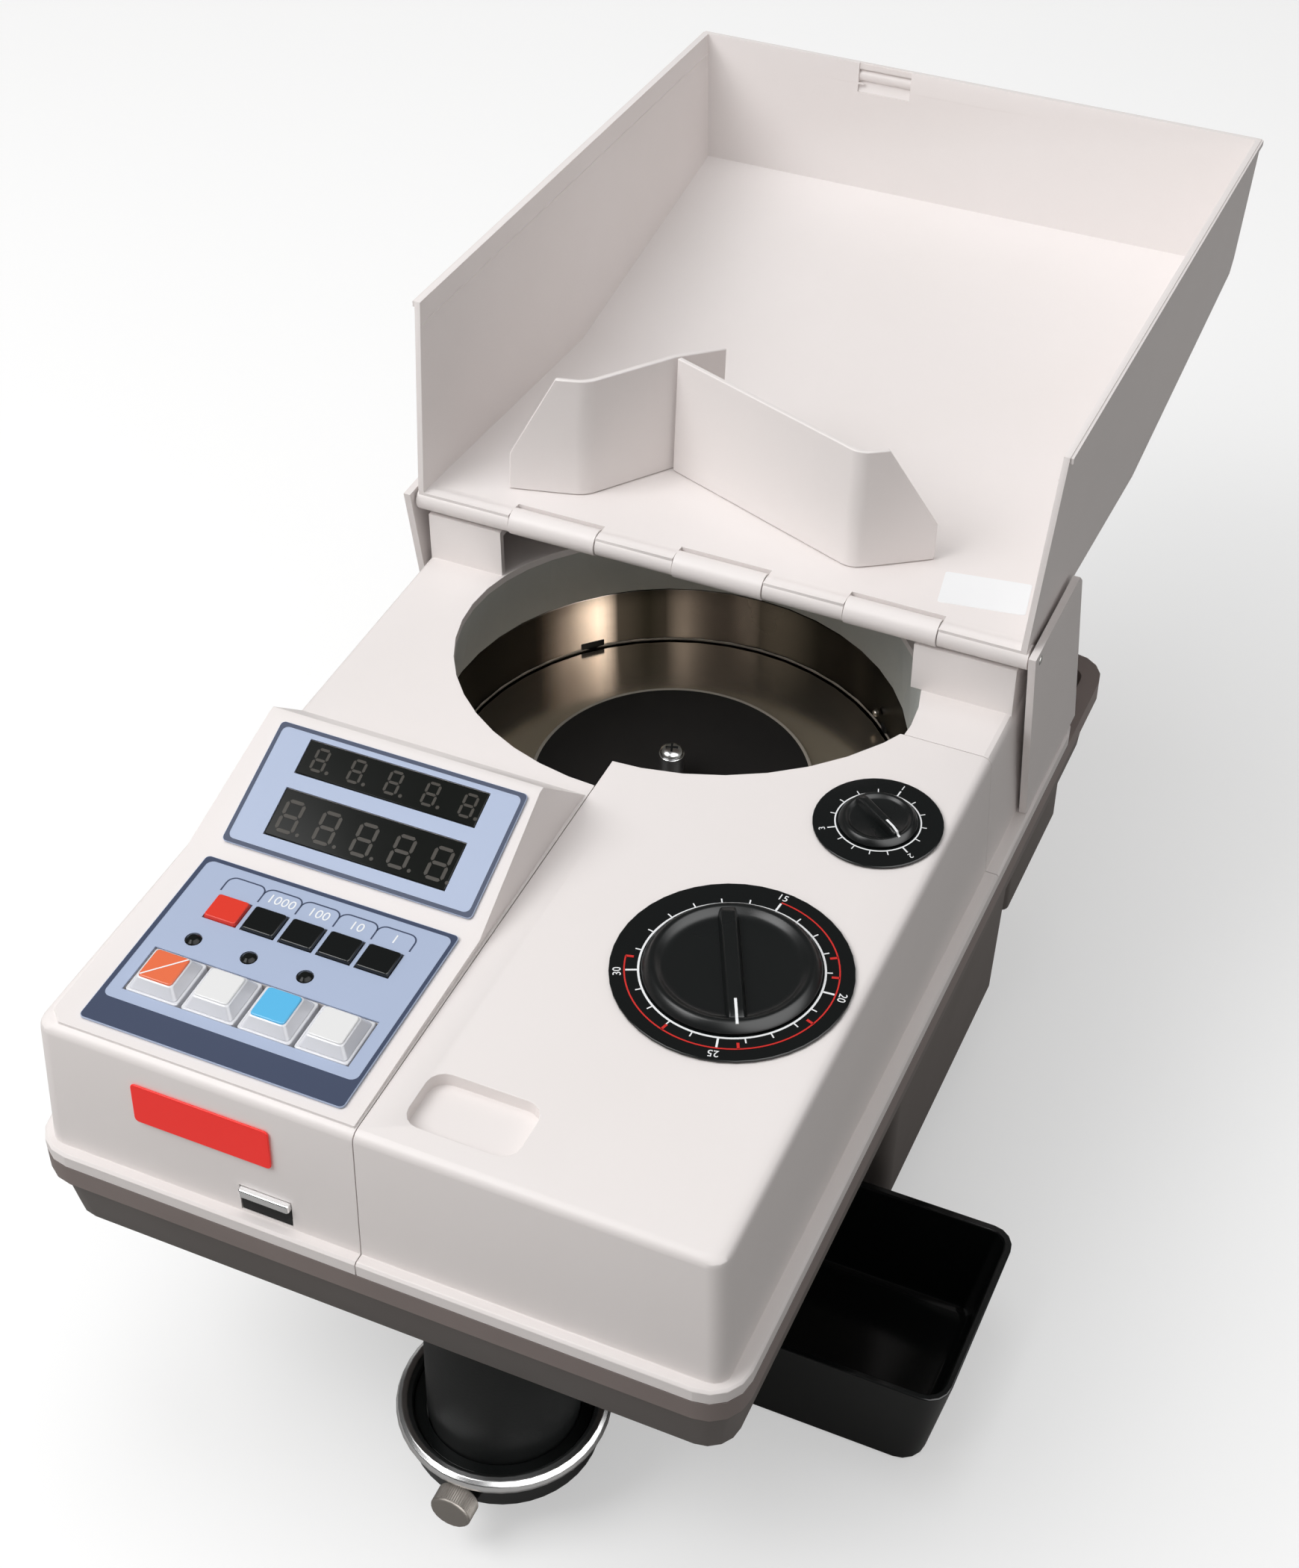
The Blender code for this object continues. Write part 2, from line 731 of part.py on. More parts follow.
def make_belt(root):
    low = pulley_top - pulley_height + pulley_flange + gap
    high = pulley_top - pulley_flange - gap
    outer = belt_outline(gap + belt_thickness)
    inner = belt_outline(gap)
    bm = bmesh.new()
    rings = [[bm.verts.new((x, y, z)) for x, y in outline]
             for outline, z in ((outer, low), (outer, high), (inner, high), (inner, low))]
    for one, two in zip(rings, rings[1:] + rings[:1]):
        for i in range(len(one)):
            j = (i + 1) % len(one)
            bm.faces.new((one[i], one[j], two[j], two[i]))
    piece("drive_belt", bm, "black_rubber", root)


def make_coin_path(root):
    low = rail_top - rail_thickness
    front = outlet_y + tube_radius * 0.5
    rail = piece("coin_rail", block(outlet_x - rail_half, outlet_x + rail_half, front, rail_rear, low, rail_top),
                 "polished_steel", root)
    join(rail, block(outlet_x - rail_half, outlet_x - rail_half + rail_fence, front, rail_rear, low,
                     rail_top + rail_fence_height), "rail_fence")
    foot_front = fence_front + board_margin
    foot_rear = fence_rear
    join(rail, block(outlet_x - rail_leg_half, outlet_x + rail_leg_half, foot_front, foot_rear,
                     chassis_top() + gap, low + rail_thickness / 2), "rail_leg")
    fence_x = outlet_x - rail_half + rail_fence + coin_width
    fence_low = rail_top + gap
    fence = piece("diameter_fence", block(-fence_width / 2, fence_width / 2, 0, fence_rear - fence_front, 0,
                                          rail_fence_height), "polished_steel", root,
                  (fence_x + fence_width / 2, fence_front, fence_low))
    join(fence, moved(disc(fence_post_radius, rail_fence_height / 2, 2 * rail_fence_height, small_turn_steps),
                      0, (fence_rear - fence_front) / 2), "fence_post", parent=fence)
    sensor_x = outlet_x - rail_half - gap
    piece("count_sensor", block(sensor_x - sensor_width, sensor_x, fence_front, fence_front + sensor_depth,
                                chassis_top() + gap, rail_top + sensor_height), "black_plastic", root)


def oval(half, reach, steps=turn_steps):
    """Points round an oval of the deck opening's centre."""
    turns = [2 * math.pi * step / steps for step in range(steps)]
    return [(opening_x + half * math.cos(turn), opening_y + reach * math.sin(turn)) for turn in turns]


def funnel(wall, low, high):
    """The bowl's upper wall with its inside: round at the steel ring, oval under the deck."""
    grow = opening_lip + wall
    return stack(level(circle(bowl_radius + wall, turn_steps, bowl_x, bowl_y), low),
                 level(oval(opening_half + grow, opening_reach + grow), high))


def make_bowl(root):
    """Pale upper wall and steel lower wall of the bowl."""
    axis = (bowl_x, bowl_y, 0)
    outer = bowl_radius + bowl_wall
    low, high = steel_top + gap, cover_top - deck_wall - gap
    upper = piece("bowl_wall", funnel(bowl_wall, low, high), "housing_plastic", root)
    cut(upper, funnel(0, low, high), "bowl_inside", parent=root)
    steel_low = chassis_top() + gap
    steel = piece("steel_ring", turned([(bowl_radius, steel_low), (outer, steel_low), (outer, steel_top),
                                        (bowl_radius, steel_top)]), "polished_steel", root, axis)
    exit_x = outlet_x - bowl_x
    cut(steel, block(exit_x - exit_half, exit_x + exit_half, -outer - overrun, -bowl_radius / 2,
                     disc_top - disc_thickness, disc_top + exit_height), "coin_exit", parent=steel)


def roof_front():
    """Where the roof under the hopper begins, behind the hinge."""
    return block_front + shell_wall + edge_round


# Outlet under the front

def leaning(profile, steps=turn_steps):
    """A closed ring of (radius, height) pairs turned about an axis that leans from spout_x to outlet_x."""
    foot, neck = collar_top + ring_thickness, pan_low - board_margin
    bm = turned(profile, steps)
    for vert in bm.verts:
        share = min(max((vert.co.z - foot) / (neck - foot), 0), 1)
        vert.co.x += spout_x + share * (outlet_x - spout_x)
        vert.co.y += outlet_y
    return bm


def make_outlet(root):
    place = (spout_x, outlet_y, 0)
    top = rail_top - rail_thickness - gap
    foot, neck = collar_top + ring_thickness, pan_low - board_margin
    middle = (foot + neck) / 2
    neck_radius = tube_radius + neck_swell
    outer = [(tube_radius, tube_low), (tube_radius, foot), (tube_radius + tube_bulge, middle), (neck_radius, neck),
             (neck_radius, top)]
    inner = [(radius - tube_wall, height) for radius, height in reversed(outer)]
    piece("outlet_tube", leaning(outer + inner), "black_rubber", root)
    collar_in = tube_radius + gap
    half = ring_thickness / 2
    ring_level = collar_top + gap + half
    lip = ring_radius - half - gap
    collar = piece("outlet_collar", turned([(collar_in, tube_low), (collar_radius - foot_recess, tube_low),
                                            (collar_radius, tube_low + foot_recess), (collar_radius, collar_top),
                                            (lip, collar_top), (lip, ring_level), (collar_in, ring_level)]),
                   "black_plastic", root, place)
    cut(collar, along_y(disc(screw_shank + gap, 0, 2 * collar_radius, small_turn_steps), z=screw_level),
        "screw_hole", parent=collar)
    ring = [(ring_radius + x, ring_level + z) for x, z in circle(half, small_turn_steps // 2)]
    piece("bag_ring", turned(ring), "chrome", root, place)
    reach = collar_radius + gap
    head = [(0, 0), (screw_radius - flat_depth, 0), (screw_radius, flat_depth),
            (screw_radius, screw_length - flat_depth), (screw_radius - flat_depth, screw_length), (0, screw_length)]
    screw = piece("thumb_screw", along_y(turned(head, screw_turn_steps)), "chrome", root,
                  (spout_x, outlet_y - reach - foot_recess, screw_level))
    join(screw, along_y(disc(screw_shank, -(reach + foot_recess - tube_radius) + 2 * gap, flat_depth,
                             small_turn_steps)), "screw_shank", parent=screw)


# Tray

def make_tray(root):
    low = tray_clear - seam_height
    high = low + tray_height
    depth, width = tray_rear - tray_front, tray_right - tray_left
    place = (tray_left, tray_front, low)
    foot = rounded(tray_draft, width - tray_draft, tray_front_draft, depth - tray_draft, tray_radius)
    rim = rounded(0, width, 0, depth, tray_radius)
    tray = piece("offsort_tray", stack(level(foot, 0), level(rim, high - low)), "black_plastic", root, place)
    inner_foot = rounded(tray_draft + tray_wall, width - tray_draft - tray_wall, tray_front_draft + tray_wall,
                         depth - tray_draft - tray_wall, tray_radius - tray_wall)
    inner_rim = rounded(tray_wall, width - tray_wall, tray_wall, depth - tray_wall, tray_radius - tray_wall)
    cut(tray, stack(level(inner_foot, tray_wall), level(inner_rim, high - low + overrun)), "tray_inside",
        parent=tray)


# Covers

def cover_rings():
    """Rings of the covers' outer surface: the flange, then the drafted wall and its rounded edge."""
    flange = rounded(-flange_half, flange_half, 0, flange_rear, corner_radius)
    flange_in = rounded(-flange_half + flange_round, flange_half - flange_round, flange_round,
                        flange_rear - flange_round, corner_radius - flange_round)
    rings = [level(flange, 0), level(flange, flange_top - flange_round), level(flange_in, flange_top)]
    low = rounded(-wall_half_low, wall_half_low, front_wall_low, wall_rear, wall_corner_radius)
    rings.append(level(low, flange_top))
    for angle in (0, 30, 60, 90):
        inset = edge_round * (1 - math.cos(math.radians(angle)))
        rise = edge_round * math.sin(math.radians(angle))
        outline = rounded(-wall_half_high + inset, wall_half_high - inset, front_wall_high + inset,
                          wall_rear - inset, wall_corner_radius - inset / 2)
        rings.append(level(outline, cover_top - edge_round + rise))
    return rings


def cover_inside():
    """Rings of the covers' hollow, one wall in from the outside."""
    flange = rounded(-flange_half + shell_wall, flange_half - shell_wall, shell_wall, flange_rear - shell_wall,
                     corner_radius - shell_wall)
    low = rounded(-wall_half_low + shell_wall, wall_half_low - shell_wall, front_wall_low + shell_wall,
                  wall_rear - shell_wall, wall_corner_radius - shell_wall)
    high = rounded(-wall_half_high + shell_wall, wall_half_high - shell_wall, front_wall_high + shell_wall,
                   wall_rear - shell_wall, wall_corner_radius - shell_wall)
    lip = flange_top - shell_wall
    return [level(flange, -overrun), level(flange, lip), level(low, lip), level(high, cover_top - deck_wall)]


def access_region(margin):
    return block(split_x - margin, flange_half + overrun, -overrun, access_rear + margin, -overrun,
                 block_top, 0)


def console(inset, low):
    """The keypad wedge and the steeper display wedge behind it, or with an inset their inside."""
    rear = console_rear - 2 * inset
    slope = (display_front_z - keypad_front_z) / (display_front - keypad_front)
    left = [x + inset for x in (console_left, console_left_top, display_left_top)]
    right = [console_right - inset, console_right - inset, display_right_top - inset]
    rings = []
    for (x_foot, x_top, x_back), corner in ((left, console_corner), ([x + console_corner for x in left], 0),
                                            (right, 0)):
        front = keypad_front + inset + corner
        foot = [(front, low), (rear, low), (rear, cover_top - max(inset, edge_round))]
        top = [(display_rear + display_crown, display_rear_z - inset), (display_rear, display_rear_z - inset),
               (display_front, display_front_z - inset), (front, keypad_front_z - inset + slope * corner)]
        ring = [(x_foot, y, z) for y, z in foot]
        ring += [(x_back, y, z) for y, z in top[:2]] + [(x_top, y, z) for y, z in top[2:]]
        rings.append(ring)
    return stack(*rings)


def rear_block(inset, low, high):
    """The high part behind the hinge, its rear corners cut off, or with an inset its inside."""
    half = wall_half_high - inset - block_side_clear
    front, rear = block_front + inset, block_rear - inset
    side = rear - block_corner_depth
    across_rear = half - block_corner_side
    outline = [(-half, front), (half, front), (half, side), (across_rear, rear), (-across_rear, rear),
               (-half, side)]
    return stack(level(outline, low), level(outline, high))


def make_housing(root):
    housing = piece("main_housing", stack(*cover_rings()), "housing_plastic", root)
    join(housing, rear_block(0, 0, block_top), "rear_block")
    join(housing, console(0, console_low), "console")
    cut(housing, stack(*cover_inside()), "housing_inside")
    cut(housing, rear_block(shell_wall, -overrun, cover_top - deck_wall), "block_inside")
    cut(housing, rear_block(shell_wall, cover_top, block_top - deck_wall - roof_drop), "loft_inside")
    under_roof = wall_half_high - shell_wall - block_side_clear
    cut(housing, block(-under_roof, under_roof, block_front + shell_wall, roof_break, cover_top,
                       block_top - deck_wall), "roof_inside")
    slope = [(roof_break, block_top), (block_rear + overrun, block_top - roof_drop),
             (block_rear + overrun, block_top + overrun), (roof_break, block_top + overrun)]
    cut(housing, across(slope, -wall_half_high, wall_half_high), "roof_slope")
    cut(housing, console(deck_wall, console_low), "console_inside")
    opening = oval(opening_half, opening_reach)
    cut(housing, stack(level(opening, -overrun), level(opening, cover_top + gap)), "bowl_opening")
    cut(housing, block(doorway_left, doorway_right, block_front - overrun, roof_front(), cover_top,
                       block_top + overrun), "doorway")
    cut(housing, access_region(gap), "access_opening")
    cut(housing, block(latch_left - gap, latch_left + latch_width + gap, 0, front_wall_high + shell_wall + overrun,
                       latch_slot_low, latch_high + gap), "latch_slot")
    return housing


def make_access_cover(root):
    pivot = empty("access_hinge", root, (0, access_rear, cover_top))
    cover = piece("access_cover", stack(*cover_rings()), "housing_plastic", root)
    tool(cover, access_region(0), "INTERSECT", "cover_region", parent=root)
    cut(cover, stack(*cover_inside()), "cover_inside", parent=root)
    join(cover, block(recess_left - recess_wall, recess_right + recess_wall, recess_front - recess_wall,
                      recess_rear + recess_wall, cover_top - recess_depth - recess_wall,
                      cover_top - deck_wall / 2, recess_radius + recess_wall), "recess_cup", parent=root)
    cut(cover, block(recess_left, recess_right, recess_front, recess_rear, cover_top - recess_depth,
                     cover_top + overrun, recess_radius), "recess", parent=root)
    cut(cover, moved(disc(cover_arc_radius, -overrun, cover_top + overrun), cover_arc_x, cover_arc_y),
        "cover_bowl", parent=root)
    for name, x, y in (("diameter", diameter_x, diameter_y), ("thickness", thickness_x, thickness_y)):
        hole = disc(spindle_radius + gap, cover_top - deck_wall - overrun, cover_top + overrun, small_turn_steps)
        cut(cover, moved(hole, x, y), f"{name}_hole", parent=root)
    return cover, pivot


def make_dial(root, name, x, y, plate, knob, skirt, rim, dish, grip, grip_width, grip_length,
              turn):
    base = gap
    plate_top = base + plate_thickness
    ring = [(spindle_radius + gap, base), (plate, base), (plate, plate_top), (spindle_radius + gap, plate_top)]
    piece(f"{name}_dial", turned(ring), "black_plastic", root, (x, y, cover_top))
    low = plate_top + gap
    slope = skirt / 3
    body = [(0, -spindle_length), (spindle_radius, -spindle_length), (spindle_radius, low), (knob, low),
            (knob, low + skirt - slope), (knob - slope, low + skirt), (knob - rim, low + skirt),
            (knob - rim - slope, low + skirt - dish), (0, low + skirt - dish)]
    turning = piece(f"{name}_knob", turned(body), "black_plastic", root, (x, y, cover_top))
    foot = rounded(-grip_width / 2, grip_width / 2, -grip_length / 2, grip_length / 2, grip_width / 3)
    shrink = grip_taper_share
    crown = [(px * shrink, py * (1 + shrink) / 2) for px, py in foot]
    bar = stack(level(foot, low + gap), level(crown, plate_top + grip))
    bar.transform(Matrix.Rotation(turn, 4, "Z"))
    join(turning, bar, f"{name}_grip", parent=turning)
    return turning


# Console controls

def make_console(root):
    tilt_keys = math.atan2(display_front_z - keypad_front_z, display_front - keypad_front)
    keys = empty("keypad_plane", root, (0, keypad_front, keypad_front_z), tilt_keys)
    tilt_display = math.atan2(display_rear_z - display_front_z, display_rear - display_front)
    face = empty("display_plane", root, (0, display_front, display_front_z), tilt_display)
    housing = bpy.data.objects["main_housing"]
    base, top = gap, gap + overlay_thickness
    film = block(keypad_left, keypad_right, keypad_v0, keypad_v1, base, top, edge_round / 2)
    keypad = piece("keypad_overlay", film, "panel_film", keys)
    film = block(display_left, display_right, display_v0, display_v1, base, top, edge_round / 2)
    display = piece("display_overlay", film, "panel_film", face)
    for name, v0, v1 in (("upper", upper_window_v0, upper_window_v1), ("lower", lower_window_v0, lower_window_v1)):
        piece(f"display_{name}", block(window_left, window_right, v0, v1, -window_depth, top), "smoked_window", face)
        for target in (display, housing):
            cut(target, block(window_left - gap, window_right + gap, v0 - gap, v1 + gap, -window_depth - overrun,
                              top + overrun), f"{name}_window_{target.name}", parent=face)
    make_buttons(keys, (keypad, housing))
    make_board(keys, housing)
    make_badge(root)


def make_buttons(keys, walls):
    deep = board_drop
    top = gap + overlay_thickness
    for number in range(5):
        x = button_x + number * button_pitch
        name = "reset_button" if number == 0 else f"digit_button_{number}"
        slot = "button_red" if number == 0 else "black_plastic"
        half_x, half_v = button_width / 2, button_depth / 2
        foot = rounded(-half_x, half_x, -half_v, half_v, foot_recess)
        crown = rounded(-half_x + gap, half_x - gap, -half_v + gap, half_v - gap, foot_recess)
        piece(name, stack(level(foot, -button_stem), level(foot, top), level(crown, top + button_rise)), slot, keys,
              (x, button_v, 0))
        for wall in walls:
            cut(wall, block(x - half_x - gap, x + half_x + gap, button_v - half_v - gap, button_v + half_v + gap,
                            -deep, top + overrun), f"{name}_{wall.name}", parent=keys)
    for number in range(3):
        x = led_x + number * led_pitch
        lamp = [(0, -button_stem), (led_radius, -button_stem), (led_radius, top), (led_radius / 2, top + led_rise),
                (0, top + led_rise)]
        piece(f"indicator_lamp_{number + 1}", turned(lamp, small_turn_steps), "smoked_window", keys, (x, led_v, 0))
        for wall in walls:
            hole = moved(disc(led_radius + gap, -deep, top + overrun, small_turn_steps), x, led_v)
            cut(wall, hole, f"lamp_{number}_{wall.name}", parent=keys)
    names = (("start_stop_key", "key_orange"), ("count_key", "key_white"), ("batch_key", "key_blue"),
             ("clear_key", "key_white"))
    half = key_size / 2
    for number, (name, slot) in enumerate(names):
        x = key_x + number * key_pitch
        skirt = rounded(-half, half, -half, half, foot_recess)
        cap = rounded(-key_cap / 2, key_cap / 2, -key_cap / 2, key_cap / 2, foot_recess)
        piece(name, stack(level(skirt, -key_stem), level(skirt, key_skirt), level(cap, key_rise)), slot, keys,
              (x, key_v, 0))
    well_left = key_x - half - 2 * gap
    well_right = key_x + 3 * key_pitch + half + 2 * gap
    for wall in walls:
        cut(wall, block(well_left, well_right, key_v - half - gap, key_v + half + gap, -deep, top + overrun),
            f"key_well_{wall.name}", parent=keys)


def make_board(keys, housing):
    left, right = keypad_left, keypad_right - board_margin
    high = -board_drop
    piece("control_board", block(left, right, keypad_v0, keypad_v1, high - board_thickness, high), "circuit_board",
          keys)
    for number, (x, v) in enumerate(((left, keypad_v0), (right, keypad_v0), (left, keypad_v1), (right, keypad_v1))):
        inward_x = board_margin if x == left else -board_margin
        inward_v = board_margin if v == keypad_v0 else -board_margin
        post = disc(board_post_radius, high + gap, -deck_wall / 2, small_turn_steps)
        join(housing, moved(post, x + inward_x, v + inward_v), f"board_post_{number}", parent=keys)


def make_badge(root):
    rise = cover_top - edge_round - flange_top
    lean = math.atan2(front_wall_high - front_wall_low, rise)
    wall = empty("front_plane", root, (0, front_wall_low, flange_top), math.pi / 2 - lean)
    piece("badge_plate", block(badge_left, badge_left + badge_width, badge_low, badge_low + badge_height, gap,
                               gap + overlay_thickness, badge_radius), "badge_red", wall)


def make_latch(root):
    lever = block(0, latch_width, 0, latch_in, 0, latch_high - latch_low, foot_recess)
    piece("latch_lever", lever, "chrome", root, (latch_left, latch_front, latch_low))


# Hopper and hinge

def hopper_half(z):
    """Half the hopper's outer width at height z, shut."""
    return rim_half - hopper_draft * (z - rim_z)


def make_hopper(root):
    hinge = empty("hopper_hinge", root, (0, axis_y, axis_z), -open_angle)
    floor_rise = (crease_z - corner_z) / crease_y
    front_low = rim_front + front_draft * (corner_z - rim_z) / corner_z
    outer = [(rim_front, rim_z), (front_low, corner_z - hopper_floor),
             (front_low + hopper_floor, corner_z + hopper_floor + floor_rise * hopper_floor),
             (crease_y, crease_z + hopper_floor), (nose_y, nose_z + hopper_floor),
             (wall_end_high - gap, nose_z + hopper_floor), (wall_end_high, wall_end_z), (wall_end_low, rim_z)]
    local = [(y - axis_y, z - axis_z) for y, z in outer]
    hopper = piece("hopper", across(local, lambda z: -hopper_half(z + axis_z), lambda z: hopper_half(z + axis_z)),
                   "housing_plastic", hinge)
    inner_front = rim_front + hopper_wall
    past = wall_end_high + barrel_radius * 2
    inner = [(inner_front, rim_z - overrun), (front_low + hopper_wall, corner_z), (crease_y, crease_z),
             (nose_y, nose_z), (past, nose_z), (past, rim_z - overrun)]
    local = [(y - axis_y, z - axis_z) for y, z in inner]
    cut(hopper, across(local, lambda z: -hopper_half(z + axis_z) + hopper_wall,
                       lambda z: hopper_half(z + axis_z) - hopper_wall), "hopper_inside", parent=hinge)
    join(hopper, along_x(disc(barrel_radius, -barrel_half, barrel_half, small_turn_steps)), "barrel", parent=hinge)
    for number in (-1, 0, 1):
        x = knuckle_x + number * knuckle_pitch
        half, reach = knuckle_width / 2 + gap, knuckle_radius + gap
        cut(hopper, block(x - half, x + half, -reach, reach, -reach, reach), f"knuckle_{number + 1}", parent=hinge)
    cut(hopper, along_x(disc(pin_radius + gap, -rim_half - overrun, rim_half + overrun, small_turn_steps)),
        "pin_bore", parent=hinge)
    window = block(catch_left, catch_right, rim_front - overrun - axis_y, inner_front + overrun - axis_y,
                   catch_low - axis_z, catch_high - axis_z)
    cut(hopper, window, "catch_window", parent=hinge)
    thinned = block(catch_left, catch_right, rim_front + catch_bar - axis_y, inner_front + overrun - axis_y,
                    rim_z - overrun - axis_z, catch_low + gap - axis_z)
    cut(hopper, thinned, "catch_bar", parent=hinge)
    return hinge


def make_hinge(root):
    place = (0, axis_y, axis_z)
    strip_low = block_top + gap - axis_z
    foot = (knuckle_radius, knuckle_foot)
    half = knuckle_width / 2
    reach = knuckle_pitch + half
    strip = piece("hinge_knuckles", block(knuckle_x - reach, knuckle_x + reach, *foot, strip_low,
                                          strip_low + strip_height), "housing_plastic", root, place)
    for number in (-1, 0, 1):
        x = knuckle_x + number * knuckle_pitch
        join(strip, along_x(disc(knuckle_radius, -half, half, small_turn_steps), x), f"barrel_{number + 1}",
             parent=strip)
        join(strip, block(x - half, x + half, 0, knuckle_foot - gap, -knuckle_radius + gap / 2,
                          -knuckle_radius + gap / 2 + knuckle_arm), f"arm_{number + 1}", parent=strip)
    cut(strip, along_x(disc(pin_radius + gap, -rim_half, rim_half, small_turn_steps)), "pin_clearance",
        parent=strip)
    piece("hinge_pin", along_x(disc(pin_radius, -pin_half, pin_half, small_turn_steps)), "zinc_plate", root, place)


def make_side_plates(root):
    foot = flange_top + gap
    for name, side in (("left", -1), ("right", 1)):
        profile = [(plate_foot, foot), (plate_rear, foot), (plate_rear - plate_rear_lean, plate_top - plate_round),
                   (plate_rear - plate_rear_lean - plate_round, plate_top), (plate_front, plate_top)]
        inner, outer = side * plate_inner, side * plate_outer
        plate = piece(f"side_plate_{name}", across(profile, inner, outer), "housing_plastic", root)
        bore = disc(pin_radius + gap, -overrun, plate_outer - plate_inner + overrun, small_turn_steps)
        start = min(inner, outer)
        cut(plate, along_x(bore, start, axis_y, axis_z), f"plate_bore_{name}", parent=root)


def divider_plate(points, heights):
    """A plate standing on a bent line of (x, v) points, with its height at each."""
    rings = []
    for index, (here, height) in enumerate(zip(points, heights)):
        before = points[max(index - 1, 0)]
        after = points[min(index + 1, len(points) - 1)]
        way = (Vector(after) - Vector(before)).normalized()
        across_way = Vector((-way.y, way.x)) * divider_thickness / 2
        near, far = Vector(here) - across_way, Vector(here) + across_way
        rings.append([(near.x, near.y, gap), (far.x, far.y, gap), (far.x, far.y, height), (near.x, near.y, height)])
    return stack(*rings)


def make_dividers(hinge):
    slope = math.atan2(crease_z - nose_z, nose_y - crease_y)
    floor = empty("hopper_floor_plane", hinge, (0, nose_y - axis_y, nose_z - axis_z), math.pi - slope)
    kink, end = Vector((left_kink_x, left_kink_v)), Vector((left_end_x, left_end_v))
    corner = kink.lerp(end, left_corner_share)
    tail, meeting = Vector((left_tail_x, left_tail_v)), Vector((junction_x, junction_v))
    full, tail_height, low = divider_height, divider_tail_height, divider_end_height
    piece("divider_left", divider_plate([tuple(p) for p in (tail, meeting, kink, corner, end)],
                                        (tail_height, full, full, full, low)),
          "housing_plastic", floor)
    kink, end = Vector((right_kink_x, right_kink_v)), Vector((right_end_x, right_end_v))
    corner = kink.lerp(end, right_corner_share)
    start = meeting + (kink - meeting).normalized() * (divider_thickness + gap)
    piece("divider_right", divider_plate([tuple(p) for p in (start, kink, corner, end)], (full, full, full, low)),
          "housing_plastic", floor)


def place_root(root):
    """Puts the middle of the counter's footprint, hopper open, over the frame's origin."""
    rim_reach = rim_front - axis_y
    rim_drop = rim_z - axis_z
    rear = axis_y + rim_reach * math.cos(open_angle) + rim_drop * math.sin(open_angle)
    front = min(outlet_y - collar_radius - gap - foot_recess - screw_length, base_front)
    root.location = (-(tray_right - plate_outer) / 2, -(rear + front) / 2, seam_height)


def build():
    root = empty("coin_counter", None, (0, 0, 0))
    make_base(root)
    make_feet(root)
    make_rear_fittings(root)
    make_chassis(root)
    make_drive(root)
    make_coin_path(root)
    make_bowl(root)
    make_outlet(root)
    make_tray(root)
    make_housing(root)
    make_access_cover(root)
    make_dial(root, "diameter", diameter_x, diameter_y, diameter_plate, diameter_knob, diameter_skirt, diameter_rim,
              diameter_dish, diameter_grip, diameter_grip_width, diameter_grip_length, diameter_turn)
    make_dial(root, "thickness", thickness_x, thickness_y, thickness_plate, thickness_knob, thickness_skirt,
              thickness_rim, thickness_dish, thickness_grip, thickness_grip_width, thickness_grip_length,
              thickness_turn)
    make_console(root)
    make_latch(root)
    hinge = make_hopper(root)
    make_hinge(root)
    make_side_plates(root)
    make_dividers(hinge)
    place_root(root)


clear_scene()
materials = make_materials()
build()
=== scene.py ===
# %% [markdown]
# # A coin counter with its hopper folded open
# The solid model of the counter is already made and loads first. This script dresses it: rounded edges, printed
# panels, dials, metal and plastic. It works in metres, with Z up and the front towards -Y.

# %% Load the solid model
import json
import math

import bmesh
import bpy
from mathutils import Matrix, Vector
from mathutils.bvhtree import BVHTree


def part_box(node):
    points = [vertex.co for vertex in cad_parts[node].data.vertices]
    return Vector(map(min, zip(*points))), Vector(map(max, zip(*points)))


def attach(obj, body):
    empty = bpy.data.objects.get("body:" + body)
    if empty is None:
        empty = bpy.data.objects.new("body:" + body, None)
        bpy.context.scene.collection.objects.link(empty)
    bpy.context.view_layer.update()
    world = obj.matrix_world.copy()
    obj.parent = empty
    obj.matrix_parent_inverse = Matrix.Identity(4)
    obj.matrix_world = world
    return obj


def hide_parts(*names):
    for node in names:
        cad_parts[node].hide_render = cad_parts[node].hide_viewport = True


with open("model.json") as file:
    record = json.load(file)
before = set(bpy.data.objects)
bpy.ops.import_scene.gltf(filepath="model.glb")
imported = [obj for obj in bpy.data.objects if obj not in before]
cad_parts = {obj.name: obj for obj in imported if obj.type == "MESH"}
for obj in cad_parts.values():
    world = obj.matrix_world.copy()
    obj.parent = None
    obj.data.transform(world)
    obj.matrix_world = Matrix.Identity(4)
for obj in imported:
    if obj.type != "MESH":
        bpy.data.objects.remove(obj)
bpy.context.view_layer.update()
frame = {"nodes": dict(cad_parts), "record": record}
nodes = frame["nodes"]
MM = 0.001

# %% [markdown]
# Sizes are easiest to think of from the machine itself. Its own frame starts at the middle of the front edge, at
# the seam between the pale covers and the dark base, so each place below is measured from there. Each leaning panel
# also gets a matrix of its own, on which what is drawn flat can be laid.

# %% The machine's own frame
cover_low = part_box("main_housing")[0]
cover_half, cover_top = 125, 59.0
machine = Vector((cover_low.x + cover_half * MM, cover_low.y, cover_low.z))


def at(x, y, z):
    """A place in millimetres from the machine's own frame, in metres of the scene."""
    return machine + Vector((x, y, z)) * MM


def plane(x, y, z, tilt):
    """A flat face of the machine as a matrix: it starts at x, y, z and leans back by tilt."""
    return Matrix.Translation(at(x, y, z)) @ Matrix.Rotation(tilt, 4, "X")


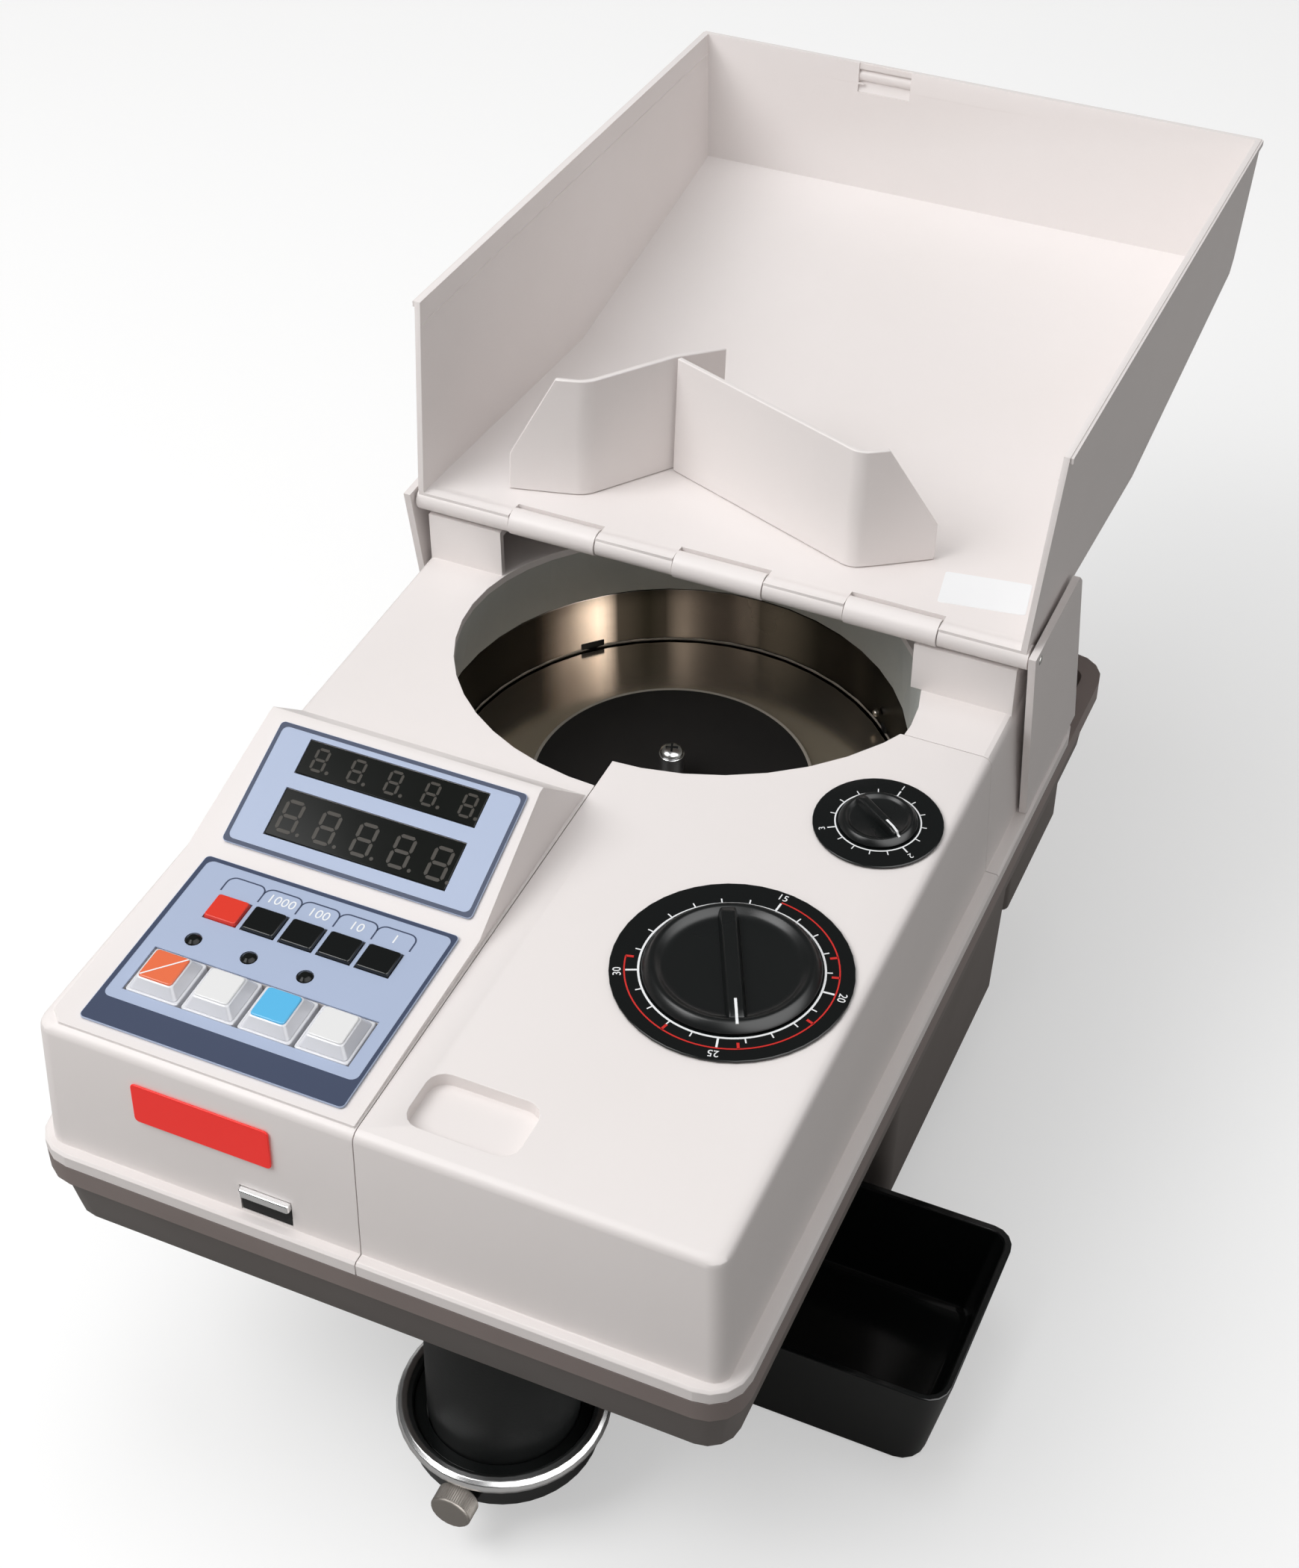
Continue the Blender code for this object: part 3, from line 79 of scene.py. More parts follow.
keypad_tilt, display_tilt, front_lean = math.atan2(2.2, 83), math.atan2(21, 51.5), math.atan2(2.8, 49.9)
keypad_plane = plane(0, 10, 60, keypad_tilt)
display_plane = plane(0, 93, 62.2, display_tilt)
front_plane = plane(0, 4.2, 5.7, math.pi / 2 - front_lean)
print("machine frame at", [round(c, 4) for c in machine])

# %% [markdown]
# The camera stands where the photographer stood: right of the front, looking down at about 42 degrees. A long lens
# keeps the far hopper from shrinking too much. The camera's three axes come from its angles, because one matrix
# then sets its place and its turn together.

# %% Camera
azimuth, elevation, roll = math.radians(24.26), math.radians(41.76), math.radians(-0.25)
back = Vector((math.sin(azimuth) * math.cos(elevation), -math.cos(azimuth) * math.cos(elevation),
               math.sin(elevation)))
level_right = Vector((math.cos(azimuth), math.sin(azimuth), 0))
level_up = back.cross(level_right)
right = math.cos(roll) * level_right + math.sin(roll) * level_up
up = back.cross(right)
camera_data = bpy.data.cameras.new("camera")
camera_data.sensor_fit = "VERTICAL"
camera_data.sensor_height = 36
camera_data.lens = 58.30
camera_data.clip_end = 20
camera = bpy.data.objects.new("camera", camera_data)
bpy.context.scene.collection.objects.link(camera)
turn = Matrix((right, up, back)).transposed().to_4x4()
camera.matrix_world = Matrix.Translation(at(282.28, -408.78, 642.91)) @ turn
bpy.context.scene.camera = camera
print("camera at", [round(c, 4) for c in camera.matrix_world.translation])

# %% [markdown]
# The world stands for the room round the machine. The camera sees it white, and everything else gets a softer light
# from it, stronger from the left. Polished surfaces mirror a dim room with one bright window high on the right,
# because metal with nothing to mirror looks flat. Light Path tells these rays apart.

# %% World
scene = bpy.context.scene
scene.view_settings.view_transform = "Standard"
world = bpy.data.worlds.new("studio")
scene.world = world
world.use_nodes = True
tree = world.node_tree
link = tree.links.new
tree.nodes.clear()
output = tree.nodes.new("ShaderNodeOutputWorld")
paths = tree.nodes.new("ShaderNodeLightPath")
sky = tree.nodes.new("ShaderNodeTexCoord")
sides = tree.nodes.new("ShaderNodeSeparateXYZ")
link(sky.outputs["Generated"], sides.inputs[0])


def background(color):
    """A light of one colour for the world."""
    made = tree.nodes.new("ShaderNodeBackground")
    made.inputs["Color"].default_value = (*color, 1)
    return made


def fade(source, from_low, from_high, to_low, to_high):
    """A brightness that changes softly from to_low to to_high as source grows."""
    made = tree.nodes.new("ShaderNodeMapRange")
    made.interpolation_type = "SMOOTHSTEP"
    for key, value in (("From Min", from_low), ("From Max", from_high), ("To Min", to_low), ("To Max", to_high)):
        made.inputs[key].default_value = value
    link(source, made.inputs["Value"])
    return made.outputs[0]


def choose(ray, other, picked):
    """One shader for a kind of ray, and the other for all the rest."""
    made = tree.nodes.new("ShaderNodeMixShader")
    link(paths.outputs[ray], made.inputs[0])
    link(other.outputs[0], made.inputs[1])
    link(picked.outputs[0], made.inputs[2])
    return made


seen, lit, mirrored = background((1, 1, 1)), background((1.0, 0.985, 0.97)), background((1, 1, 1))
left_light, right_light = 0.58, 0.30
room_low, room_high = 0.08, 0.13
window_way, window_light = (0.73, -0.18, 0.66), 3.3
link(fade(sides.outputs["X"], -1.0, 1.0, left_light, right_light), lit.inputs["Strength"])
window = tree.nodes.new("ShaderNodeVectorMath")
window.operation = "DOT_PRODUCT"
window.inputs[1].default_value = window_way
link(sky.outputs["Generated"], window.inputs[0])
room = tree.nodes.new("ShaderNodeMath")
room.operation = "ADD"
link(fade(sides.outputs["Z"], 0.0, 0.9, room_low, room_high), room.inputs[0])
link(fade(window.outputs["Value"], 0.60, 0.92, 0.0, window_light), room.inputs[1])
link(room.outputs[0], mirrored.inputs["Strength"])
light = choose("Is Camera Ray", choose("Is Glossy Ray", lit, mirrored), seen)
link(light.outputs[0], output.inputs[0])
print("world:", len(tree.nodes), "nodes")

# %% [markdown]
# A wide lamp high on the left front shapes the forms, as a studio softbox does, and a weaker one overhead opens the
# shade. Both are just strong enough for a colour to render about as it is written. Glossy rays don't see the one
# overhead, or else the dark windows would mirror it.

# %% Lamps
def lamp(name, place, target, size, watts):
    """A square soft lamp that faces its target."""
    data = bpy.data.lights.new(name, "AREA")
    data.size = size
    data.energy = watts
    obj = bpy.data.objects.new(name, data)
    scene.collection.objects.link(obj)
    obj.location = place
    obj.rotation_euler = (Vector(target) - Vector(place)).to_track_quat("-Z", "Y").to_euler()
    return obj


aim = (0, 0, 0.1)
lamp("key_lamp", (-0.95, -0.95, 1.75), aim, 1.2, 25)
top_lamp = lamp("top_lamp", (-0.2, 0.1, 2.1), aim, 1.0, 8.5)
top_lamp.data.color = (0.95, 0.98, 1.0)
top_lamp.visible_glossy = False

# %% [markdown]
# A pale floor catches the shadow. The camera sees it paler than the light that it throws back on the machine, so
# its colour and a little glow follow Light Path. One flat face is enough, because the floor has no detail of its
# own.

# %% Floor
bm = bmesh.new()
bmesh.ops.create_grid(bm, x_segments=1, y_segments=1, size=6)
floor_mesh = bpy.data.meshes.new("floor")
bm.to_mesh(floor_mesh)
bm.free()
floor = bpy.data.objects.new("floor", floor_mesh)
scene.collection.objects.link(floor)
floor_paint = bpy.data.materials.new("floor_paint")
floor_paint.use_nodes = True
paint_tree = floor_paint.node_tree
paint = paint_tree.nodes["Principled BSDF"]
bounced_grey, seen_grey, seen_glow = (0.34, 0.335, 0.33, 1), (0.56, 0.56, 0.56, 1), 0.44
paint.inputs["Roughness"].default_value = 0.9
paint.inputs["Emission Color"].default_value = (1, 1, 1, 1)
paint_paths = paint_tree.nodes.new("ShaderNodeLightPath")
paint_mix = paint_tree.nodes.new("ShaderNodeMix")
paint_mix.data_type = "RGBA"
paint_mix.inputs[6].default_value = bounced_grey
paint_mix.inputs[7].default_value = seen_grey
paint_tree.links.new(paint_paths.outputs["Is Camera Ray"], paint_mix.inputs["Factor"])
paint_tree.links.new(paint_mix.outputs[2], paint.inputs["Base Color"])
paint_lift = paint_tree.nodes.new("ShaderNodeMath")
paint_lift.operation = "MULTIPLY"
paint_lift.inputs[1].default_value = seen_glow
paint_tree.links.new(paint_paths.outputs["Is Camera Ray"], paint_lift.inputs[0])
paint_tree.links.new(paint_lift.outputs[0], paint.inputs["Emission Strength"])
floor_mesh.materials.append(floor_paint)

# %% [markdown]
# Moulded plastic is never one flat colour: the tool leaves a fine grain, and handling leaves faint cloudy marks.
# Both effects are a node group, built once and given other values in each material. Noise on Object coordinates
# needs no unwrapping and keeps one scale on every piece.

# %% Shared effects
def socket(group, name, kind, way, value=None):
    """Adds a named input or output to a node group."""
    made = group.interface.new_socket(name=name, in_out=way, socket_type=kind)
    if value is not None:
        made.default_value = value


def surface_group():
    """Cloudy colour, varied gloss and a fine grain for any moulded or rolled surface."""
    group = bpy.data.node_groups.new("surface_variation", "ShaderNodeTree")
    number = "NodeSocketFloat"
    for name, kind, value in (
            ("Vector", "NodeSocketVector", None), ("Color", "NodeSocketColor", (0.8, 0.8, 0.8, 1)),
            ("Dirt Color", "NodeSocketColor", (0.5, 0.45, 0.4, 1)), ("Cloud Scale", number, 14.0),
            ("Cloud Amount", number, 0.06), ("Grain Scale", number, 1800.0), ("Roughness", number, 0.4),
            ("Roughness Amount", number, 0.08)):
        socket(group, name, kind, "INPUT", value)
    for name, kind in (("Color", "NodeSocketColor"), ("Roughness", number), ("Height", number)):
        socket(group, name, kind, "OUTPUT")
    nodes_in, links = group.nodes, group.links
    given = nodes_in.new("NodeGroupInput")
    result = nodes_in.new("NodeGroupOutput")
    cloud = nodes_in.new("ShaderNodeTexNoise")
    cloud.inputs["Detail"].default_value = 5
    links.new(given.outputs["Vector"], cloud.inputs["Vector"])
    links.new(given.outputs["Cloud Scale"], cloud.inputs["Scale"])
    spread = nodes_in.new("ShaderNodeMapRange")
    spread.inputs["From Min"].default_value = 0.35
    spread.inputs["From Max"].default_value = 0.75
    links.new(cloud.outputs[0], spread.inputs["Value"])
    amount = nodes_in.new("ShaderNodeMath")
    amount.operation = "MULTIPLY"
    links.new(spread.outputs[0], amount.inputs[0])
    links.new(given.outputs["Cloud Amount"], amount.inputs[1])
    tint = nodes_in.new("ShaderNodeMix")
    tint.data_type = "RGBA"
    links.new(amount.outputs[0], tint.inputs["Factor"])
    links.new(given.outputs["Color"], tint.inputs[6])
    links.new(given.outputs["Dirt Color"], tint.inputs[7])
    links.new(tint.outputs[2], result.inputs["Color"])
    rough = nodes_in.new("ShaderNodeMath")
    rough.operation = "MULTIPLY_ADD"
    links.new(spread.outputs[0], rough.inputs[0])
    links.new(given.outputs["Roughness Amount"], rough.inputs[1])
    links.new(given.outputs["Roughness"], rough.inputs[2])
    links.new(rough.outputs[0], result.inputs["Roughness"])
    grain = nodes_in.new("ShaderNodeTexNoise")
    grain.inputs["Detail"].default_value = 3
    links.new(given.outputs["Vector"], grain.inputs["Vector"])
    links.new(given.outputs["Grain Scale"], grain.inputs["Scale"])
    links.new(grain.outputs[0], result.inputs["Height"])
    return group


surface_variation = surface_group()
finishes = {}


def finish(name, color, roughness, metallic=0.0, dirt=None, cloud=0.06, cloud_scale=14.0, grain=1800.0, bump=0.05,
           rough_amount=0.08, coat=0.0, stretch=(1, 1, 1)):
    """A material on the shared group, kept in finishes; stretch draws its grain out along an axis."""
    material = bpy.data.materials.new(name)
    material.use_nodes = True
    tree = material.node_tree
    link = tree.links.new
    shader = tree.nodes["Principled BSDF"]
    shader.inputs["Metallic"].default_value = metallic
    shader.inputs["Coat Weight"].default_value = coat
    shader.inputs["Coat Roughness"].default_value = 0.12
    place = tree.nodes.new("ShaderNodeTexCoord")
    mapping = tree.nodes.new("ShaderNodeMapping")
    mapping.inputs["Scale"].default_value = stretch
    link(place.outputs["Object"], mapping.inputs["Vector"])
    effect = tree.nodes.new("ShaderNodeGroup")
    effect.node_tree = surface_variation
    values = {"Color": (*color, 1), "Dirt Color": (*(dirt or [c * 0.6 for c in color]), 1),
              "Cloud Scale": cloud_scale, "Cloud Amount": cloud, "Grain Scale": grain, "Roughness": roughness,
              "Roughness Amount": rough_amount}
    for key, value in values.items():
        effect.inputs[key].default_value = value
    link(mapping.outputs[0], effect.inputs["Vector"])
    link(effect.outputs["Color"], shader.inputs["Base Color"])
    link(effect.outputs["Roughness"], shader.inputs["Roughness"])
    relief = tree.nodes.new("ShaderNodeBump")
    relief.inputs["Strength"].default_value = bump
    relief.inputs["Distance"].default_value = 0.2 * MM
    link(effect.outputs["Height"], relief.inputs["Height"])
    link(relief.outputs[0], shader.inputs["Normal"])
    finishes[name] = material
    return material


print("shared group:", surface_variation.name)

# %% [markdown]
# The finishes follow the real machine: warm off-white covers with a fine spark-eroded grain, a brown-grey base that
# is paler above its step, partly as a paler trim and partly as painted light that the upper band catches, glossy
# black trays and knobs, black rubber, bright plated steel, and printed film on the console. Each is a call with its
# colour, its gloss and how much it varies, so that they are easy to compare.

# %% Finishes
base_brown, base_trim_and_painted_light, base_step = (0.115, 0.100, 0.092), (0.22, 0.18, 0.168), -8.8
finish("housing_plastic", (0.81, 0.765, 0.752), 0.42, dirt=(0.62, 0.57, 0.52), cloud=0.10, bump=0.10,
       grain=1500, coat=0.05)
finish("base_plastic", base_brown, 0.50, cloud=0.20, bump=0.12, grain=1500)
finish("black_plastic", (0.005, 0.006, 0.006), 0.12, cloud=0.10, bump=0.01, rough_amount=0.03)
finish("black_rubber", (0.005, 0.006, 0.006), 0.45, dirt=(0.02, 0.02, 0.02), cloud=0.25, bump=0.2, grain=900)
finish("polished_steel", (0.60, 0.57, 0.52), 0.20, metallic=1.0, dirt=(0.38, 0.33, 0.28), cloud=0.35, bump=0.04,
       grain=500, stretch=(1, 1, 14))
finish("zinc_plate", (0.50, 0.50, 0.48), 0.38, metallic=1.0, cloud=0.3, bump=0.06)
finish("chrome", (0.90, 0.90, 0.90), 0.14, metallic=1.0, cloud=0.15, bump=0.02, rough_amount=0.12)
finish("panel_film", (0.40, 0.47, 0.63), 0.38, cloud=0.06, bump=0.04, grain=2600)
finish("smoked_window", (0.008, 0.009, 0.008), 0.10, cloud=0.0, bump=0.0)
finish("key_orange", (0.80, 0.16, 0.06), 0.30, cloud=0.05, bump=0.02, coat=0.4)
finish("key_white", (0.78, 0.78, 0.78), 0.30, cloud=0.05, bump=0.02, coat=0.4)
finish("key_blue", (0.10, 0.48, 0.80), 0.30, cloud=0.05, bump=0.02, coat=0.4)
finish("button_red", (0.72, 0.035, 0.016), 0.35, cloud=0.05, bump=0.03)
finish("badge_red", (0.85, 0.018, 0.012), 0.40, cloud=0.04, bump=0.02, coat=0.1)
finish("circuit_board", (0.03, 0.18, 0.08), 0.45)
finish("motor_paint", (0.04, 0.04, 0.05), 0.45, metallic=0.2, bump=0.15)
finish("mirror_steel", (0.78, 0.68, 0.56), 0.15, metallic=0.93, dirt=(0.40, 0.33, 0.27), cloud=0.3, bump=0.0)
finish("bright_edge", (0.62, 0.57, 0.50), 0.35, metallic=0.5, cloud=0.3)
finish("worn_steel", (0.62, 0.58, 0.52), 0.35, metallic=1.0, cloud=0.3)
finish("bowl_grey", (0.58, 0.60, 0.58), 0.48, cloud=0.15, bump=0.08, grain=1500)
finish("pad_rubber", (0.016, 0.015, 0.015), 0.34, dirt=(0.05, 0.045, 0.04), cloud=0.25, bump=0.12, grain=700)
finish("knurled_steel", (0.40, 0.37, 0.34), 0.45, metallic=0.9, cloud=0.3, bump=0.5, grain=1100)
finish("key_skirt", (0.74, 0.745, 0.78), 0.20, cloud=0.08, bump=0.02, coat=0.6)
finish("knob_plastic", (0.006, 0.007, 0.007), 0.26, cloud=0.10, bump=0.02)
finish("print_navy", (0.050, 0.066, 0.118), 0.42, bump=0.03)
finish("print_white", (0.86, 0.87, 0.88), 0.45, cloud=0.02, bump=0.0)
finish("print_red", (0.62, 0.02, 0.015), 0.45, cloud=0.02, bump=0.0)
finish("unlit_segment", (0.040, 0.034, 0.026), 0.30, cloud=0.0, bump=0.0)
finish("label_paper", (0.84, 0.85, 0.86), 0.5, cloud=0.02, bump=0.02)
# The paler tone above the base's step is partly a paler trim and partly painted light: the upper band catches more
# light than the undercut part below it.
tree = finishes["base_plastic"].node_tree
tone = tree.nodes.new("ShaderNodeMix")
tone.data_type = "RGBA"
tone.inputs[6].default_value = (*base_brown, 1)
tone.inputs[7].default_value = (*base_trim_and_painted_light, 1)
level = tree.nodes.new("ShaderNodeSeparateXYZ")
tree.links.new(tree.nodes["Texture Coordinate"].outputs["Object"], level.inputs[0])
above = tree.nodes.new("ShaderNodeMath")
above.operation = "GREATER_THAN"
above.inputs[1].default_value = at(0, 0, base_step).z
tree.links.new(level.outputs["Z"], above.inputs[0])
tree.links.new(above.outputs[0], tone.inputs["Factor"])
tree.links.new(tone.outputs[2], tree.nodes["Group"].inputs["Color"])
for name in ("black_rubber", "pad_rubber", "smoked_window"):
    finishes[name].node_tree.nodes["Principled BSDF"].inputs["Specular IOR Level"].default_value = 0.2
# The faint red glow on the badge is painted light: the badge is no lamp, and the glow only makes its red brighter.
badge_painted_glow = finishes["badge_red"].node_tree.nodes["Principled BSDF"]
badge_painted_glow.inputs["Emission Color"].default_value = (1.0, 0.03, 0.02, 1)
badge_painted_glow.inputs["Emission Strength"].default_value = 0.18
print("finishes:", len(finishes))

# %% [markdown]
# A node of the solid model is dressed in the finish that its record names. The names of the finishes and of the
# record's slots are the same, so a look-up does it, and no node is left bare.

# %% Finishes on the solid nodes
slot_of = {part["node"]: part["material_slot"] for part in frame["record"]["subparts"]}
body_of = {node: body for body, members in frame["record"]["behaviour"]["bodies"].items() for node in members}
for name, node in nodes.items():
    node.data.materials.clear()
    node.data.materials.append(finishes[slot_of[name]])
print("bodies that move:", sorted(set(body_of.values()) - {"counter"}))

# %% [markdown]
# Every piece ends in the same way: smooth shading with the sharp edges kept, a material, a small round where it is
# wanted, and the body that it rides on. One function for all keeps the pieces alike. The round is a Bevel modifier,
# so that its width is easy to change.

# %% A finished piece
def place_piece(name, bm, material, body, replaced=(), round_edge=0.0, smooth=32):
    """Turns bm into a finished piece that rides on a body and may stand for nodes of the solid model."""
    mesh = bpy.data.meshes.new(name)
    bm.to_mesh(mesh)
    bm.free()
    mesh.shade_smooth()
    mesh.set_sharp_from_angle(angle=math.radians(smooth))
    mesh.materials.append(material)
    obj = bpy.data.objects.new(name, mesh)
    scene.collection.objects.link(obj)
    if round_edge:
        bevel = obj.modifiers.new("round", "BEVEL")
        bevel.width = round_edge
        bevel.segments = 2
        bevel.limit_method = "ANGLE"
        bevel.angle_limit = math.radians(smooth)
        bevel.harden_normals = False
    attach(obj, body)
    if replaced:
        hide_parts(*replaced)
    return obj


# %% [markdown]
# The solid model's meshes are loose triangles with crisp edges. A real moulding has small rounds that catch the
# light. So each node is copied, its corners are merged and its flat faces joined, and a bevel rounds what is sharp.
# The folds of the dividers and the foot of the tray's walls are rounder, so these edges get a wide bevel first.

# %% Rounded copies of the solid nodes
weld_distance, flat_angle = 0.005 * MM, math.radians(0.6)
fold_length, fold_least, fold_most = 20 * MM, 10, 65
tray_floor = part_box("offsort_tray")[0].z + 2.4 * MM


def merged(node):
    """A copy of a node's mesh with its corners merged and its flat faces joined."""
    bm = bmesh.new()
    bm.from_mesh(nodes[node].data)
    bmesh.ops.remove_doubles(bm, verts=bm.verts, dist=weld_distance)
    bmesh.ops.dissolve_limit(bm, angle_limit=flat_angle, verts=bm.verts, edges=bm.edges)
    return bm


def soften(bm, width, picked):
    """Rounds the picked edges widely, by a width in millimetres."""
    edges = [edge for edge in bm.edges if len(edge.link_faces) == 2 and picked(edge)]
    bmesh.ops.bevel(bm, geom=edges, offset=width * MM, offset_type="OFFSET", segments=5, profile=0.5,
                    affect="EDGES", material=-1, clamp_overlap=True)


def is_fold(edge):
    """A long edge where a folded plate turns a little."""
    turn_of_plate = math.degrees(edge.calc_face_angle(0))
    return edge.calc_length() > fold_length and fold_least < turn_of_plate < fold_most


def is_tray_floor(edge):
    """An edge between the floor of the tray and its walls."""
    near = all(abs(vert.co.z - tray_floor) < 0.1 * MM for vert in edge.verts)
    return near and edge.calc_face_angle(0) > 0.5


softened = {"divider_left": (4.0, is_fold), "divider_right": (4.0, is_fold), "offsort_tray": (3.0, is_tray_floor)}
edge_sizes = {"main_housing": 0.5, "access_cover": 0.5, "hopper": 0.35, "base_pan": 0.6, "divider_left": 0.4,
              "divider_right": 0.4, "side_plate_left": 0.5, "side_plate_right": 0.5, "hinge_knuckles": 0.4,
              "offsort_tray": 0.8, "outlet_collar": 0.4, "diameter_knob": 0.5, "thickness_knob": 0.4,
              "latch_lever": 0.4, "bowl_wall": 0.3, "steel_ring": 0.3}
drawn_apart = ("start_stop_key", "count_key", "batch_key", "clear_key", "diameter_knob", "thickness_knob",
               "disc_screw")
for name in sorted(set(nodes) - set(drawn_apart)):
    edge = edge_sizes.get(name, 0.25)
    bm = merged(name)
    if name in softened:
        soften(bm, *softened[name])
    place_piece(f"dressed_{name}", bm, finishes[slot_of[name]], body_of[name], (name,), edge * MM)
print("dressed", len(nodes) - len(drawn_apart), "nodes")

# %% [markdown]
# What is printed on the machine is a thin layer: borders, brackets, scale marks and plain numbers. An image could
# carry it, but thin meshes stay sharp at any distance. Each starts as an outline, from a few measures.

# %% Outlines
def corner_loop(left, right, low, high, radius, steps=6):
    """The outline of a rounded rectangle, in millimetres, anticlockwise."""
    points = []
    for x, y, quarter in ((right - radius, low + radius, 3), (right - radius, high - radius, 0),
                          (left + radius, high - radius, 1), (left + radius, low + radius, 2)):
        for step in range(steps + 1):
            angle = math.pi / 2 * (quarter + step / steps)
            points.append((x + radius * math.cos(angle), y + radius * math.sin(angle)))
    return points


def clock_arc(radius, start, end, steps):
    """Points on a circle by clock angle in degrees: zero is away from the front, and angles grow clockwise."""
    turns = [math.radians(start + (end - start) * step / steps) for step in range(steps + 1)]
    return [(radius * math.sin(turn), radius * math.cos(turn)) for turn in turns]


# %% [markdown]
# An outline becomes a plate, a band between two outlines, or a line of even width. Each is drawn flat and then
# raised by a hair, so that it is closed and can lie on its panel or dial without flickering through it.

# %% Thin plates from outlines
print_thickness = 0.05 * MM
upwards = Vector((0, 0, 1))


def thicken(bm, thickness=print_thickness, way=upwards):
    """Raises flat faces into a solid, straight up or another way."""
    raised = bmesh.ops.extrude_face_region(bm, geom=list(bm.faces))
    verts = [item for item in raised["geom"] if isinstance(item, bmesh.types.BMVert)]
    bmesh.ops.translate(bm, verts=verts, vec=way * thickness)
    bmesh.ops.recalc_face_normals(bm, faces=bm.faces)
    return bm


def sheet(points, thickness=print_thickness):
    """A flat outline in millimetres as a thin plate."""
    bm = bmesh.new()
    bm.faces.new([bm.verts.new((x * MM, y * MM, 0)) for x, y in points])
    return thicken(bm, thickness)


def border(outer, inner, thickness=print_thickness):
    """The flat stretch between two closed outlines of as many points."""
    bm = bmesh.new()
    loops = [[bm.verts.new((x * MM, y * MM, 0)) for x, y in outline] for outline in (outer, inner)]
    edges = [bm.edges.new((ring[i - 1], ring[i])) for ring in loops for i in range(len(ring))]
    bmesh.ops.bridge_loops(bm, edges=edges)
    return thicken(bm, thickness)


def ribbon(points, width, thickness=print_thickness):
    """A printed line of even width along points in millimetres."""
    bm = bmesh.new()
    pairs = []
    for index, here in enumerate(points):
        before, after = points[max(index - 1, 0)], points[min(index + 1, len(points) - 1)]
        way = (Vector(after) - Vector(before)).normalized()
        side = Vector((-way.y, way.x)) * width / 2
        pairs.append([bm.verts.new(((here[0] + s * side.x) * MM, (here[1] + s * side.y) * MM, 0)) for s in (1, -1)])
    for (a, b), (c, d) in zip(pairs, pairs[1:]):
        bm.faces.new((a, b, d, c))
    return thicken(bm, thickness)


# %% [markdown]
# Plain numbers come from Blender's own text, which is made a mesh before it is placed. Flat shapes that share a
# finish are joined into one piece and laid on their panel by its matrix, so that the list of pieces stays short.

# %% Lettering and layers
digit_share = 0.7


def lettering(words, height):
    """Plain numbers in flat faces, centred on their place; a digit fills only a share of the text's size."""
    curve = bpy.data.curves.new("lettering", "FONT")
    curve.body = words
    curve.size = height / digit_share * MM
    curve.align_x, curve.align_y = "CENTER", "CENTER"
    curve.resolution_u = 4
    holder = bpy.data.objects.new("lettering", curve)
    mesh = bpy.data.meshes.new_from_object(holder)
    bm = bmesh.new()
    bm.from_mesh(mesh)
    bmesh.ops.remove_doubles(bm, verts=bm.verts, dist=0.001 * MM)
    bpy.data.objects.remove(holder)
    bpy.data.meshes.remove(mesh)
    return thicken(bm)


def add(target, bm, place=None):
    """Moves bm by a matrix and adds it to target."""
    if place is not None:
        bm.transform(place)
    mesh = bpy.data.meshes.new("passing")
    bm.to_mesh(mesh)
    bm.free()
    target.from_mesh(mesh)
    bpy.data.meshes.remove(mesh)


def shift(x, y, z=0.0):
    """A move in millimetres as a matrix."""
    return Matrix.Translation((x * MM, y * MM, z * MM))


def clock_place(angle, radius, height=0.0):
    """A place by clock angle on a circle, turned so that Y points outwards."""
    turn = math.radians(angle)
    return shift(radius * math.sin(turn), radius * math.cos(turn), height) @ Matrix.Rotation(-turn, 4, "Z")


def layer(name, shapes, place, material, body):
    """Joins flat shapes, lays them on a plane of the machine and makes one piece of them."""
    bm = bmesh.new()
    for shape in shapes:
        add(bm, shape)
    bm.transform(place)
    return place_piece(name, bm, finishes[material], body)


# %% [markdown]
# The console has two panels of blue-grey film with dark borders. The keypad panel ends in a dark strip at the
# front. Brackets stand over the five small buttons, four of them with the plain numbers of their place values. A
# border is bridged between two rounded outlines and a bracket is one bent line, which keeps their widths even.

# %% Console printing
film_thickness, print_gap = 1.0, 0.03
film_top = film_thickness + print_gap
key_print = keypad_plane @ shift(0, 0, film_top)
display_print = display_plane @ shift(0, 0, film_top)
for name, outside, inside, where in (
        ("keypad_border", (-104.3, -10.3, 4.2, 81.2, 1.6), (-102.7, -11.6, 14.7, 79.7, 2.6), key_print),
        ("display_border", (-102.8, -9.7, 5.8, 53.0, 1.6), (-101.4, -11.1, 7.3, 51.6, 2.2), display_print)):
    layer(name, [border(corner_loop(*outside), corner_loop(*inside))], where, "print_navy", "counter")
button_x, button_pitch = -85.0, 14.0
bracket_foot, bracket_bend, bracket_radius, bracket_width = 69.0, 72.9, 3.0, 0.5
brackets = []
for number in range(5):
    left = button_x + (number - 0.5) * button_pitch
    right_end = left + button_pitch
    bend = [(left + bracket_radius - bracket_radius * math.cos(math.radians(a)),
             bracket_bend + bracket_radius * math.sin(math.radians(a))) for a in range(0, 91, 15)]
    far_bend = [(left + right_end - x, y) for x, y in reversed(bend)]
    path = ([(left, bracket_foot)] if number == 0 else []) + bend + far_bend + [(right_end, bracket_foot)]
    brackets.append(ribbon(path, bracket_width))
layer("bracket_print", brackets, key_print, "print_navy", "counter")
place_values, number_height, number_line = ("1000", "100", "10", "1"), 3.7, 71.9
numbers = []
for number, words in enumerate(place_values):
    bm = lettering(words, number_height)
    bm.transform(shift(button_x + (number + 1) * button_pitch + 0.3, number_line))
    numbers.append(bm)
layer("place_numbers", numbers, key_print, "print_white", "counter")
print("console:", len(brackets), "brackets and", len(numbers), "numbers")
